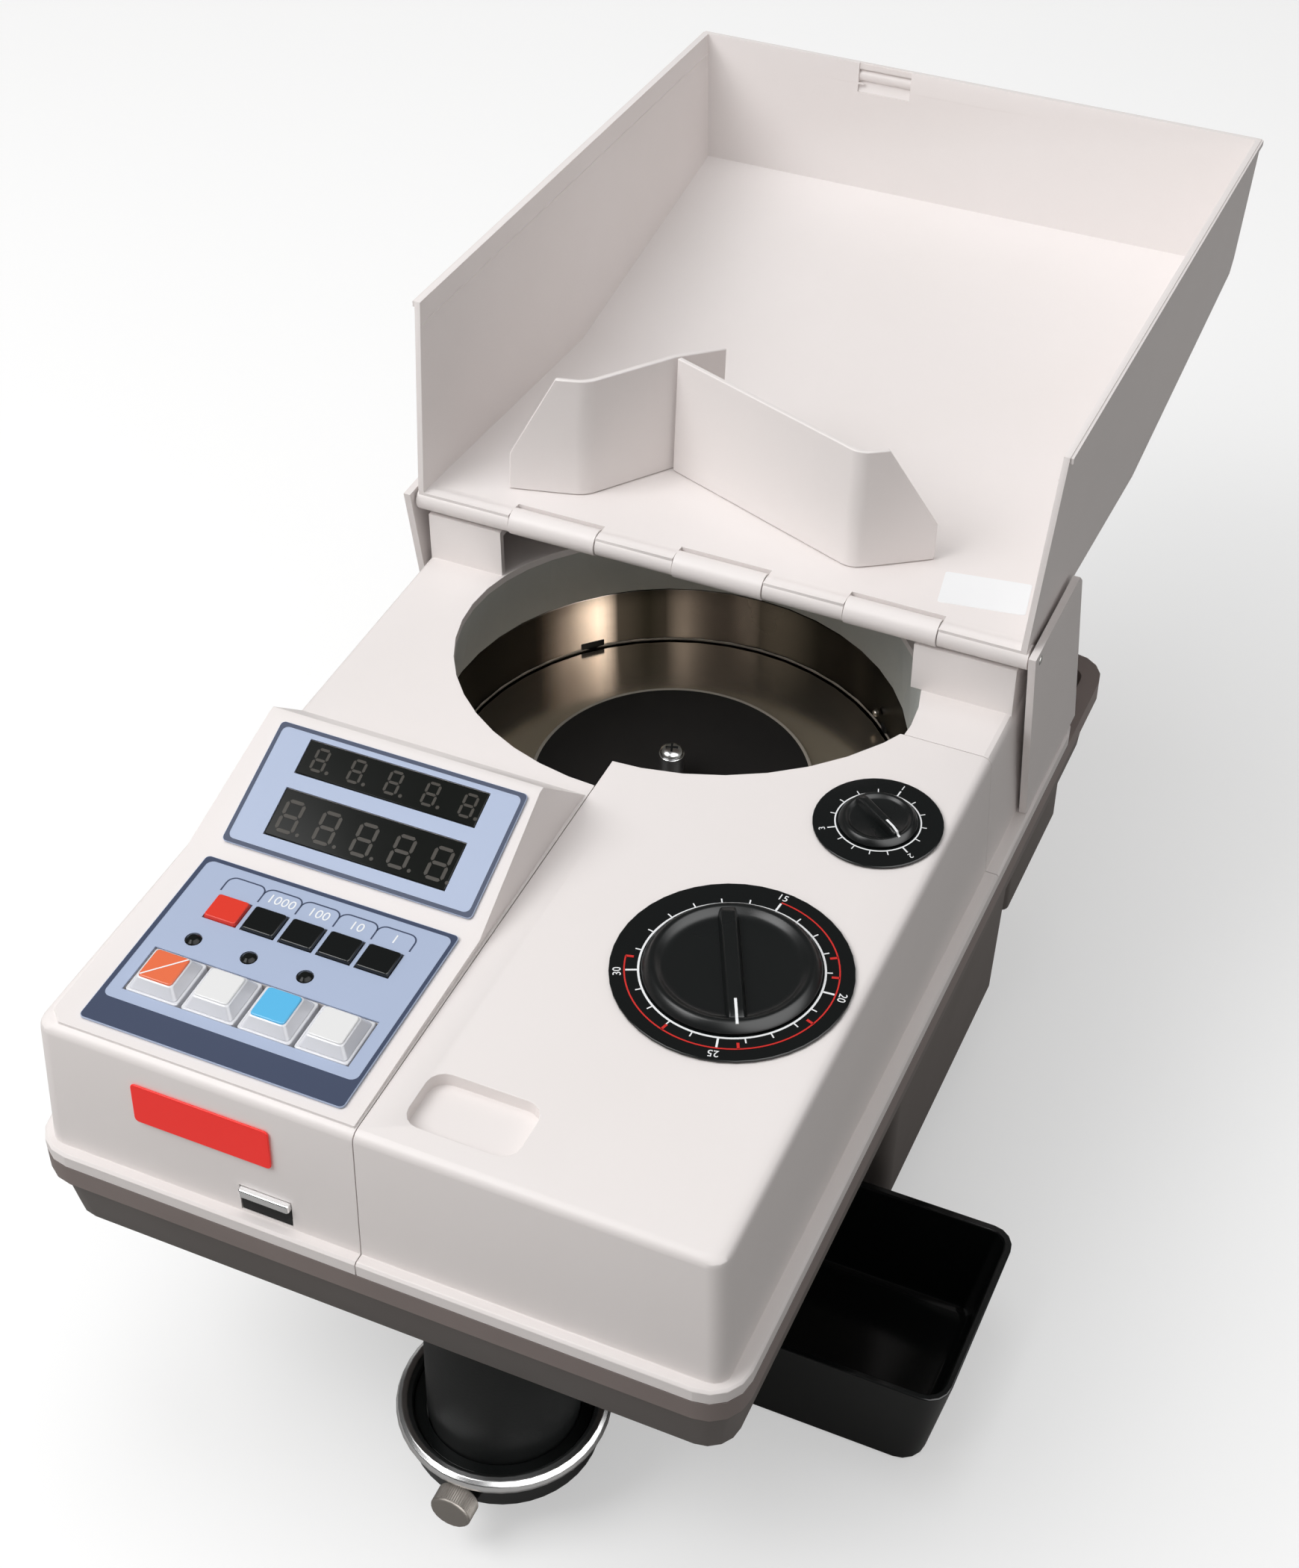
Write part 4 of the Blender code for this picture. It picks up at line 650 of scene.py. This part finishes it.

# %% [markdown]
# A black sheet set just into the slot under the latch paints the shade inside it, and the thumb screw is knurled.
# Bump alone would leave the screw's edge smooth in outline, so its ridges are a ring of their own in which every
# second corner stands further out.

# %% Latch slot and thumb screw
slot_outline, slot_depth = (-45.9, -27.9, 1.2, 8.2, 0.4), 0.3
# This black sheet is painted shade in the slot.
slot_painted_shade = sheet(corner_loop(*slot_outline))
layer("latch_shade", [slot_painted_shade], front_plane @ shift(0, 0, -slot_depth), "black_rubber", "counter")
bpy.data.objects["dressed_thumb_screw"].data.materials[0] = finishes["knurled_steel"]
screw_low, screw_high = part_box("thumb_screw")
ridge_foot, ridge_height, knurl_hole, knurl_length, ridge_steps = 7.25, 0.22, 6.8, 6.4, 120
turns = [math.tau * step / ridge_steps for step in range(ridge_steps)]
ridges = [(ridge_foot + ridge_height * (step % 2), turn) for step, turn in enumerate(turns)]
knurl = border([(radius * math.cos(turn), radius * math.sin(turn)) for radius, turn in ridges],
               [(knurl_hole * math.cos(turn), knurl_hole * math.sin(turn)) for turn in turns], knurl_length * MM)
knurl.transform(Matrix.Translation(((screw_low.x + screw_high.x) / 2, screw_low.y + 0.8 * MM,
                                    (screw_low.z + screw_high.z) / 2)) @ Matrix.Rotation(-math.pi / 2, 4, "X"))
place_piece("screw_knurl", knurl, finishes["knurled_steel"], "thumb_screw", smooth=10)
print("thumb screw with", ridge_steps // 2, "ridges")

# %% [markdown]
# Behind each dark window five unlit digits of seven segments just show. The lower row is taller than the upper one.
# Each bar is an outline with pointed ends, as on a real display, in a tone a little above black.

# %% Unlit digits
digit_count, digit_pitch, point_gap, point_radius = 5, 14.0, 1.6, 0.7


def segments(width, height, stroke):
    """The seven bars of one digit, each a flat bar with pointed ends, and its point."""
    bars = []
    half = stroke / 2
    mid = height / 2
    for y in (half, mid, height - half):
        x0, x1 = stroke * 0.75, width - stroke * 0.75
        bars.append([(x0, y), (x0 + half, y - half), (x1 - half, y - half), (x1, y), (x1 - half, y + half),
                     (x0 + half, y + half)])
    for x in (half, width - half):
        for y0, y1 in ((stroke * 0.75, mid - stroke * 0.25), (mid + stroke * 0.25, height - stroke * 0.75)):
            bars.append([(x, y0), (x + half, y0 + half), (x + half, y1 - half), (x, y1), (x - half, y1 - half),
                         (x - half, y0 + half)])
    corners = [step * math.pi / 4 for step in range(8)]
    point = [(width + point_gap + point_radius * math.cos(a), point_radius + point_radius * math.sin(a))
             for a in corners]
    return bars + [point]


for name, digit_x, digit_low, width, height, stroke in (("lower", -87.4, 14.4, 7.3, 12.4, 1.25),
                                                        ("upper", -85.9, 38.6, 5.2, 9.0, 0.95)):
    shapes = []
    for number in range(digit_count):
        for outline in segments(width, height, stroke):
            shapes.append(sheet([(digit_x + number * digit_pitch + x, digit_low + y) for x, y in outline]))
    layer(f"digits_{name}", shapes, display_print, "unlit_segment", "counter")
    print(name, "row:", len(shapes), "bars and points")

# %% [markdown]
# Each key is a clear moulded skirt with a coloured plate in its top. The first one has a white line across it from
# corner to corner. A scaled cube would have sharp corners, so each part is bridged between two rounded squares, and
# a small bevel rounds its rim.

# %% Key caps
def pyramid(low_half, high_half, low, high, low_radius, high_radius):
    """A four-sided cap with rounded corners, in millimetres, narrowing upwards."""
    bm = bmesh.new()
    for half, z, radius in ((low_half, low, low_radius), (high_half, high, high_radius)):
        outline = corner_loop(-half, half, -half, half, radius, 4)
        bm.faces.new([bm.verts.new((x * MM, y * MM, z * MM)) for x, y in outline])
    bmesh.ops.bridge_loops(bm, edges=bm.edges[:])
    bmesh.ops.recalc_face_normals(bm, faces=bm.faces)
    return bm


key_x, key_y, key_pitch, key_top = -87.9, 29.0, 20.4, 5.57
for number, (name, color) in enumerate((("start_stop_key", "key_orange"), ("count_key", "key_white"),
                                        ("batch_key", "key_blue"), ("clear_key", "key_white"))):
    where = keypad_plane @ shift(key_x + number * key_pitch, key_y)
    skirt = pyramid(9.5, 9.5, -6.2, 0.9, 1.0, 1.0)
    add(skirt, pyramid(8.8, 6.5, 0.9, 5.0, 1.4, 1.3))
    skirt.transform(where)
    place_piece(f"dressed_{name}", skirt, finishes["key_skirt"], body_of[name], (name,), 0.35 * MM)
    cap = pyramid(6.3, 6.0, 4.6, 5.55, 1.3, 1.2)
    cap.transform(where)
    place_piece(f"{name}_top", cap, finishes[color], body_of[name], (), 0.25 * MM)
stripe = ribbon([(-5.6, -5.6), (5.6, 5.6)], 0.5)
layer("start_stop_line", [stripe], keypad_plane @ shift(key_x, key_y, key_top), "print_white", "start_stop_key")
print("keys", round(key_pitch, 1), "mm apart")

# %% [markdown]
# Both dials are black discs with a white ring, a scale of ticks and plain numbers whose tops face outwards. The
# large one also has a red arc with short red marks. All of it is placed by clock angle, so a row of angles makes a
# scale.

# %% Dial scales
diameter_centre, thickness_centre = (74.3, 116.0), (92.8, 200.0)
dial_gap, dial_thickness, dial_print_gap, arc_lift = 0.3, 1.0, 0.02, 0.06
dial_top = cover_top + dial_gap + dial_thickness + dial_print_gap


def scale_mark(angle, low, high, width):
    """A tick between two radii."""
    turn = math.radians(angle)
    return ribbon([(r * math.sin(turn), r * math.cos(turn)) for r in (low, high)], width)


def scale_number(words, angle, radius, height):
    """A number whose top faces outwards."""
    bm = lettering(words, height)
    bm.transform(clock_place(angle, radius))
    return bm


def ring_band(radius, width, steps=96):
    """A whole printed ring."""
    last = 360 - 360 / steps
    return border(clock_arc(radius + width / 2, 0, last, steps - 1),
                  clock_arc(radius - width / 2, 0, last, steps - 1))


on_diameter = Matrix.Translation(at(*diameter_centre, dial_top))
white = [ring_band(29.9, 0.7)]
large_angles = [5.5 + 16 * step for step in range(16)] + [245.5 + 17.14 * step for step in range(1, 7)]
for index, angle in enumerate(large_angles):
    is_long = index in (0, 5, 10, 15)
    white.append(scale_mark(angle, 30.2, 34.0 if is_long else 32.1, 0.7 if is_long else 0.45))
for words, angle in (("15", 4.5), ("20", 86.5), ("25", 166.5), ("30", 244.5)):
    white.append(scale_number(words, angle, 36.6, 2.7))
layer("diameter_scale", white, on_diameter, "print_white", "access_cover")
red = [ribbon(clock_arc(34.4, 5.5, 256, 60), 0.5)]
for angle in (58, 73, 110, 154, 197, 256):
    red.append(scale_mark(angle, 31.8, 34.4, 0.9))
layer("diameter_arc", red, on_diameter @ shift(0, 0, arc_lift), "print_red", "access_cover")
on_thickness = Matrix.Translation(at(*thickness_centre, dial_top))
white = [ring_band(14.6, 0.5)]
small_angles = [6 + 24 * step for step in range(6)] + [126 + 22.1 * step for step in range(1, 6)]
small_angles += [236.5 + 25.9 * step for step in range(1, 5)]
for index, angle in enumerate(small_angles):
    is_long = index in (0, 5, 10)
    white.append(scale_mark(angle, 14.8, 17.6 if is_long else 16.6, 0.5 if is_long else 0.35))
for words, angle in (("1", 6), ("2", 126), ("3", 236.5)):
    white.append(scale_number(words, angle, 19.4, 2.2))
layer("thickness_scale", white, on_thickness, "print_white", "access_cover")
print("dial scales:", len(large_angles), "and", len(small_angles), "ticks")

# %% [markdown]
# A knob is spun from its outline: a thin foot, a raised rim and a dished middle. Spinning gives true curves from a
# few points. A grip bar with sloping ends lies across it, and a white line on the bar runs on to the rim, to point
# at the scale.

# %% Knobs
end_run = 4


def lathe(profile, steps=96):
    """Spins (radius, height) pairs in millimetres about Z."""
    bm = bmesh.new()
    verts = [bm.verts.new((radius * MM, 0, height * MM)) for radius, height in profile]
    edges = [bm.edges.new(pair) for pair in zip(verts, verts[1:])]
    bmesh.ops.spin(bm, geom=verts + edges, axis=(0, 0, 1), cent=(0, 0, 0), dvec=(0, 0, 0), angle=math.tau,
                   steps=steps, use_merge=True)
    bmesh.ops.remove_doubles(bm, verts=bm.verts, dist=0.001 * MM)
    bmesh.ops.recalc_face_normals(bm, faces=bm.faces)
    return bm


def grip_bar(length, width, low, high, end_drop):
    """A bar across a knob: its top is narrower than its foot, and its ends slope down."""
    bm = bmesh.new()
    rings = []
    end, drop = length / 2, high - end_drop
    for y, top in ((-end, drop), (-end + end_run * end_drop, high), (end - end_run * end_drop, high), (end, drop)):
        half, crown = width / 2, width * 0.32
        rings.append([bm.verts.new((x * MM, y * MM, z * MM)) for x, z in
                      ((-half, low), (half, low), (crown, top), (-crown, top))])
    for one, two in zip(rings, rings[1:]):
        for i in range(4):
            bm.faces.new((one[i - 1], one[i], two[i], two[i - 1]))
    bm.faces.new(rings[0])
    bm.faces.new(rings[-1])
    bmesh.ops.recalc_face_normals(bm, faces=bm.faces)
    bmesh.ops.bevel(bm, geom=bm.edges[:], offset=0.5 * MM, offset_type="OFFSET", segments=3, profile=0.5,
                    affect="EDGES", material=-1, clamp_overlap=True)
    return bm


knob_gap, pointer_lift = 0.3, 0.06
knob_low = cover_top + dial_gap + dial_thickness + knob_gap
for name, centre, turn, profile, bar, pointer in (
        ("diameter_knob", diameter_centre, -154,
         [(0, 0.1), (28.5, 0.1), (28.9, 0.5), (28.7, 1.1), (26.9, 3.0), (26.3, 3.45), (25.5, 3.55), (24.6, 3.3),
          (23.4, 2.1), (22.2, 1.45), (20.6, 1.25), (0, 1.25)], (49.0, 7.2, 1.0, 4.2, 0.7), (17.0, 28.4, 0.9)),
        ("thickness_knob", thickness_centre, -125,
         [(0, 0.1), (13.2, 0.1), (13.5, 0.4), (13.3, 0.9), (12.3, 2.2), (11.9, 2.5), (11.4, 2.55), (10.8, 2.3),
          (10.2, 1.7), (9.4, 1.35), (0, 1.25)], (21.6, 4.2, 0.9, 4.2, 0.6), (4.6, 13.0, 0.8))):
    where = Matrix.Translation(at(*centre, knob_low))
    turned = Matrix.Rotation(math.radians(turn), 4, "Z")
    body = lathe(profile)
    add(body, grip_bar(*bar), turned)
    body.transform(where)
    place_piece(f"dressed_{name}", body, finishes["knob_plastic"], name, (name,))
    start, end, width = pointer
    bar_end, bar_top, bar_drop = bar[0] / 2, bar[3], bar[4]
    path = [(start, bar_top), (bar_end - end_run * bar_drop, bar_top), (bar_end, bar_top - bar_drop)]
    path += [(radius, height) for radius, height in reversed(profile) if bar_end < radius <= end]
    line = bmesh.new()
    pairs = [[line.verts.new((side * width / 2 * MM, y * MM, (z + pointer_lift) * MM)) for side in (-1, 1)]
             for y, z in path]
    for (a, b), (c, d) in zip(pairs, pairs[1:]):
        line.faces.new((a, b, d, c))
    thicken(line)
    line.transform(where @ turned)
    place_piece(f"{name}_pointer", line, finishes["print_white"], name)
    print(name, "points at", turn, "degrees")

# %% [markdown]
# The bowl's steel wall is brushed round, so it gathers the room into upright bright and dark bands. A plain metal
# would need the real room to show them. Here these reflections are painted: a colour ramp on the clock angle round
# the bowl sets the steel's colour in bright and dark bands, and they stay in their place from every side.

# %% Steel with painted reflections
bowl_centre = at(-13.2, 267.9, 0)
wall_radius = 90.3
brush_scale = (6, 6, 2600)


def steel_painted_reflections():
    """Steel with painted reflections: its colour follows the clock angle round the bowl, with fine lines drawn
    round it.
    """
    material = finish("steel_painted_reflections", (0.6, 0.5, 0.4), 0.24, metallic=1.0, cloud=0.0, bump=0.0, rough_amount=0.05)
    tree = material.node_tree
    link = tree.links.new
    shader = tree.nodes["Principled BSDF"]
    place = tree.nodes.new("ShaderNodeTexCoord")
    offset = tree.nodes.new("ShaderNodeVectorMath")
    offset.operation = "SUBTRACT"
    offset.inputs[1].default_value = bowl_centre
    link(place.outputs["Object"], offset.inputs[0])
    parts = tree.nodes.new("ShaderNodeSeparateXYZ")
    link(offset.outputs[0], parts.inputs[0])
    clock = tree.nodes.new("ShaderNodeMath")
    clock.operation = "ARCTAN2"
    link(parts.outputs[0], clock.inputs[0])
    link(parts.outputs[1], clock.inputs[1])
    spread = tree.nodes.new("ShaderNodeMapRange")
    spread.inputs["From Min"].default_value = -math.pi
    spread.inputs["From Max"].default_value = math.pi
    link(clock.outputs[0], spread.inputs["Value"])
    bands = tree.nodes.new("ShaderNodeValToRGB")
    ramp = bands.color_ramp
    # These stops are painted reflection: bright bands where the room would shine in the wall, dark bands elsewhere.
    dark, bright = Vector((0.012, 0.011, 0.008)), Vector((1.0, 0.88, 0.79))
    painted_reflection_tones = ((-170, 0.12), (-85, 0.03), (-61, 0.10), (-54, 0.9), (-43, 1.0), (-38, 0.03), (-30, 0.0), (-25, 0.02),
             (-20, 0.26), (-6, 0.22), (0, 0.02), (18, 0.0), (28, 0.05), (33, 0.10), (40, 0.02), (170, 0.10))
    for index, (angle, tone) in enumerate(painted_reflection_tones):
        stop = ramp.elements[index] if index < 2 else ramp.elements.new(1.0)
        stop.position = (angle + 180) / 360
        stop.color = (*dark.lerp(bright, tone), 1)
    link(spread.outputs[0], bands.inputs[0])
    lines = tree.nodes.new("ShaderNodeTexNoise")
    stretch = tree.nodes.new("ShaderNodeMapping")
    stretch.inputs["Scale"].default_value = brush_scale
    link(place.outputs["Object"], stretch.inputs["Vector"])
    link(stretch.outputs[0], lines.inputs["Vector"])
    fine = tree.nodes.new("ShaderNodeMix")
    fine.data_type = "RGBA"
    fine.blend_type = "OVERLAY"
    fine.inputs["Factor"].default_value = 0.35
    link(bands.outputs[0], fine.inputs[6])
    link(lines.outputs[0], fine.inputs[7])
    link(fine.outputs[2], shader.inputs["Base Color"])
    return material


steel_painted_reflections()
for name, material in (("steel_ring", "steel_painted_reflections"), ("feed_disc", "mirror_steel"), ("bowl_wall", "bowl_grey"),
                       ("disc_pad", "pad_rubber")):
    bpy.data.objects[f"dressed_{name}"].data.materials[0] = finishes[material]
print("bowl centre at", [round(c, 4) for c in bowl_centre])

# %% [markdown]
# The polished disc mirrors the wall. A rubber pad with a bright rim covers its middle, held by a cross-head screw,
# and the wall has a bright foot, two notches and a pin. The bright rim and foot are pale half-metal bands, partly
# real edges and partly painted highlight. The screw's cross and the notches are black shapes that paint the shade
# inside those hollows. Round things are spun from an outline about the bowl's own centre and then moved there.

# %% Bowl and feed disc
def around_bowl(name, bm, material, body):
    """A piece drawn about the bowl's centre, moved to it."""
    bm.transform(Matrix.Translation(bowl_centre))
    return place_piece(name, bm, finishes[material], body)


# The pad's rim band and the wall's foot band are partly real edges and partly painted highlight, in their pale
# half-metal finish.
rim = lathe([(53.9, -13.95), (54.1, -13.55), (55.2, -13.5), (55.55, -13.9), (55.6, -15.9)])
around_bowl("pad_rim_band", rim, "bright_edge", "feed_disc")
foot = lathe([(90.05, -16.4), (89.85, -15.9), (89.9, -15.4), (90.25, -15.2)])
around_bowl("wall_foot_band", foot, "bright_edge", "counter")
# Black blocks on the wall paint the shade inside the two notches.
notch_depth, notch_height, notch_level = 1.0, 4.2, -14.6
for name, angle, half in (("left", -45, 5.1), ("right", 46, 2.2)):
    hole = bmesh.new()
    bmesh.ops.create_cube(hole, size=1)
    bmesh.ops.scale(hole, verts=hole.verts, vec=(2 * half * MM, notch_depth * MM, notch_height * MM))
    bmesh.ops.bevel(hole, geom=hole.edges[:], offset=0.4 * MM, segments=3, profile=0.5, affect="EDGES", material=-1)
    hole.transform(clock_place(angle, wall_radius, notch_level))
    around_bowl(f"wall_notch_{name}", hole, "black_rubber", "counter")
pin_angle, pin_inset, pin_level = 43, 1.1, -9.5
pin = lathe([(0, 0), (1.5, 0), (1.5, 1.2), (1.1, 1.7), (0, 1.9)], 24)
pin.transform(clock_place(pin_angle, wall_radius - pin_inset, pin_level) @ Matrix.Rotation(math.pi / 2, 4, "X"))
around_bowl("wall_pin", pin, "worn_steel", "counter")
pad_top, head_gap, cross_height, cross_half, cross_turn = -0.2, 0.3, 2.42, 2.4, 20
head_low = pad_top + head_gap
screw = lathe([(0, head_low), (4.5, head_low), (4.6, head_low + 0.5), (4.2, head_low + 1.3), (3.2, head_low + 2.1),
               (1.7, head_low + 2.5), (0, head_low + 2.6)], 48)
around_bowl("dressed_disc_screw", screw, "chrome", "feed_disc")
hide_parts("disc_screw")
# Black strips on the screw's head paint the shade in its cross recess.
cross = [ribbon([(-cross_half, 0), (cross_half, 0)], 0.8, 0.3 * MM),
         ribbon([(0, -cross_half), (0, cross_half)], 0.8, 0.31 * MM)]
layer("screw_cross", cross, Matrix.Translation(bowl_centre + Vector((0, 0, (head_low + cross_height) * MM)))
      @ Matrix.Rotation(math.radians(cross_turn), 4, "Z"), "black_rubber", "feed_disc")

# %% [markdown]
# The hopper's inner walls have a small ledge below the rim, and its outer rim has a bead. They are drawn with the
# hopper shut, as the solid model was, then turned open with it, because flat lines on a level plane are easy to
# measure.

# %% Hopper ledge and bead
hopper_axis, hopper_turn = (0, 275.5, 84.8), -182.6
opened = Matrix.Translation(at(*hopper_axis)) @ Matrix.Rotation(math.radians(hopper_turn), 4, "X")
rim_z, rim_half, hopper_draft, hopper_wall = 6.2, 122.8, 0.046, 2.2


def shut(z):
    """The plane at height z of the shut hopper, as a matrix of the opened one."""
    return opened @ shift(-hopper_axis[0], -hopper_axis[1], z - hopper_axis[2])


def hopper_half(z):
    """Half of the shut hopper's width at height z: its walls lean in a little."""
    return rim_half - hopper_draft * (z - rim_z)


ledge_z = rim_z + 8.6
ledge_front, ledge_rear, ledge_width, ledge_height = 3.35, 269.8, 0.5, 0.7
latch_gap_left, latch_gap_right = -48, -25
inner = hopper_half(ledge_z) - hopper_wall
ledges = [ribbon(path, ledge_width, ledge_height * MM) for path in (
    [(-inner, ledge_rear), (-inner, ledge_front), (latch_gap_left, ledge_front)],
    [(latch_gap_right, ledge_front), (inner, ledge_front), (inner, ledge_rear)])]
layer("hopper_ledge", ledges, shut(ledge_z), "housing_plastic", "hopper")
bead_z = rim_z + 0.3
bead_front, bead_rear, bead_width, bead_height = 2.1, 268.6, 2.0, 2.2
outer = hopper_half(bead_z) + 0.1
bead = ribbon([(-outer, bead_rear), (-outer, bead_front), (outer, bead_front), (outer, bead_rear)], bead_width,
              bead_height * MM)
layer("hopper_bead", [bead], shut(bead_z), "housing_plastic", "hopper")
print("hopper bead:", round(2 * outer, 1), "mm from side to side")

# %% [markdown]
# The latch holds a catch on the hopper's front wall: a rounded nose and a sloping rib. Its outline, seen from the
# side, is one face, and pushing that face sideways makes the whole catch.

# %% Hopper catch
catch_left, catch_right, catch_low, catch_high = -50.45, -27.05, 9.25, 18.75
nose_y, nose_z, nose_reach, nose_half = 1.2, 12.2, 1.7, 2.3
nose = [(nose_y + nose_reach * math.sin(math.radians(a)), nose_z - nose_half * math.cos(math.radians(a)))
        for a in range(20, 171, 15)]
profile = [(1.15, catch_low)] + nose + [(1.35, 14.6), (1.5, 15.2), (3.2, catch_high), (1.15, catch_high)]
catch = bmesh.new()
catch.faces.new([catch.verts.new((catch_left * MM, y * MM, (z - catch_low) * MM)) for y, z in profile])
thicken(catch, (catch_right - catch_left) * MM, Vector((1, 0, 0)))
layer("hopper_catch", [catch], shut(catch_low), "housing_plastic", "hopper")
print("catch outline of", len(profile), "points")

# %% [markdown]
# A plain pale label lies on the hopper's floor by the right wall. The floor slopes, so a ray cast straight down
# finds the spot and the way it faces, and the label is laid in that plane.

# %% Hopper label
label_x, label_y, above_hopper = 94.6, 301.4, 140
hopper_surface = BVHTree.FromPolygons([v.co for v in nodes["hopper"].data.vertices],
                                      [p.vertices[:] for p in nodes["hopper"].data.polygons])
spot, upward, _, _ = hopper_surface.ray_cast(at(label_x, label_y, above_hopper), Vector((0, 0, -1)))
label_turn = math.radians(10)
along = Vector((math.cos(label_turn), math.sin(label_turn), 0))
along = (along - along.dot(upward) * upward).normalized()
lie = Matrix((along, upward.cross(along), upward)).transposed().to_4x4()
label = sheet(corner_loop(-15.8, 15.8, -10.4, 10.4, 1.2), 0.12 * MM)
layer("hopper_label", [label], Matrix.Translation(spot) @ lie, "label_paper", "hopper")
print("label faces", [round(c, 2) for c in upward])
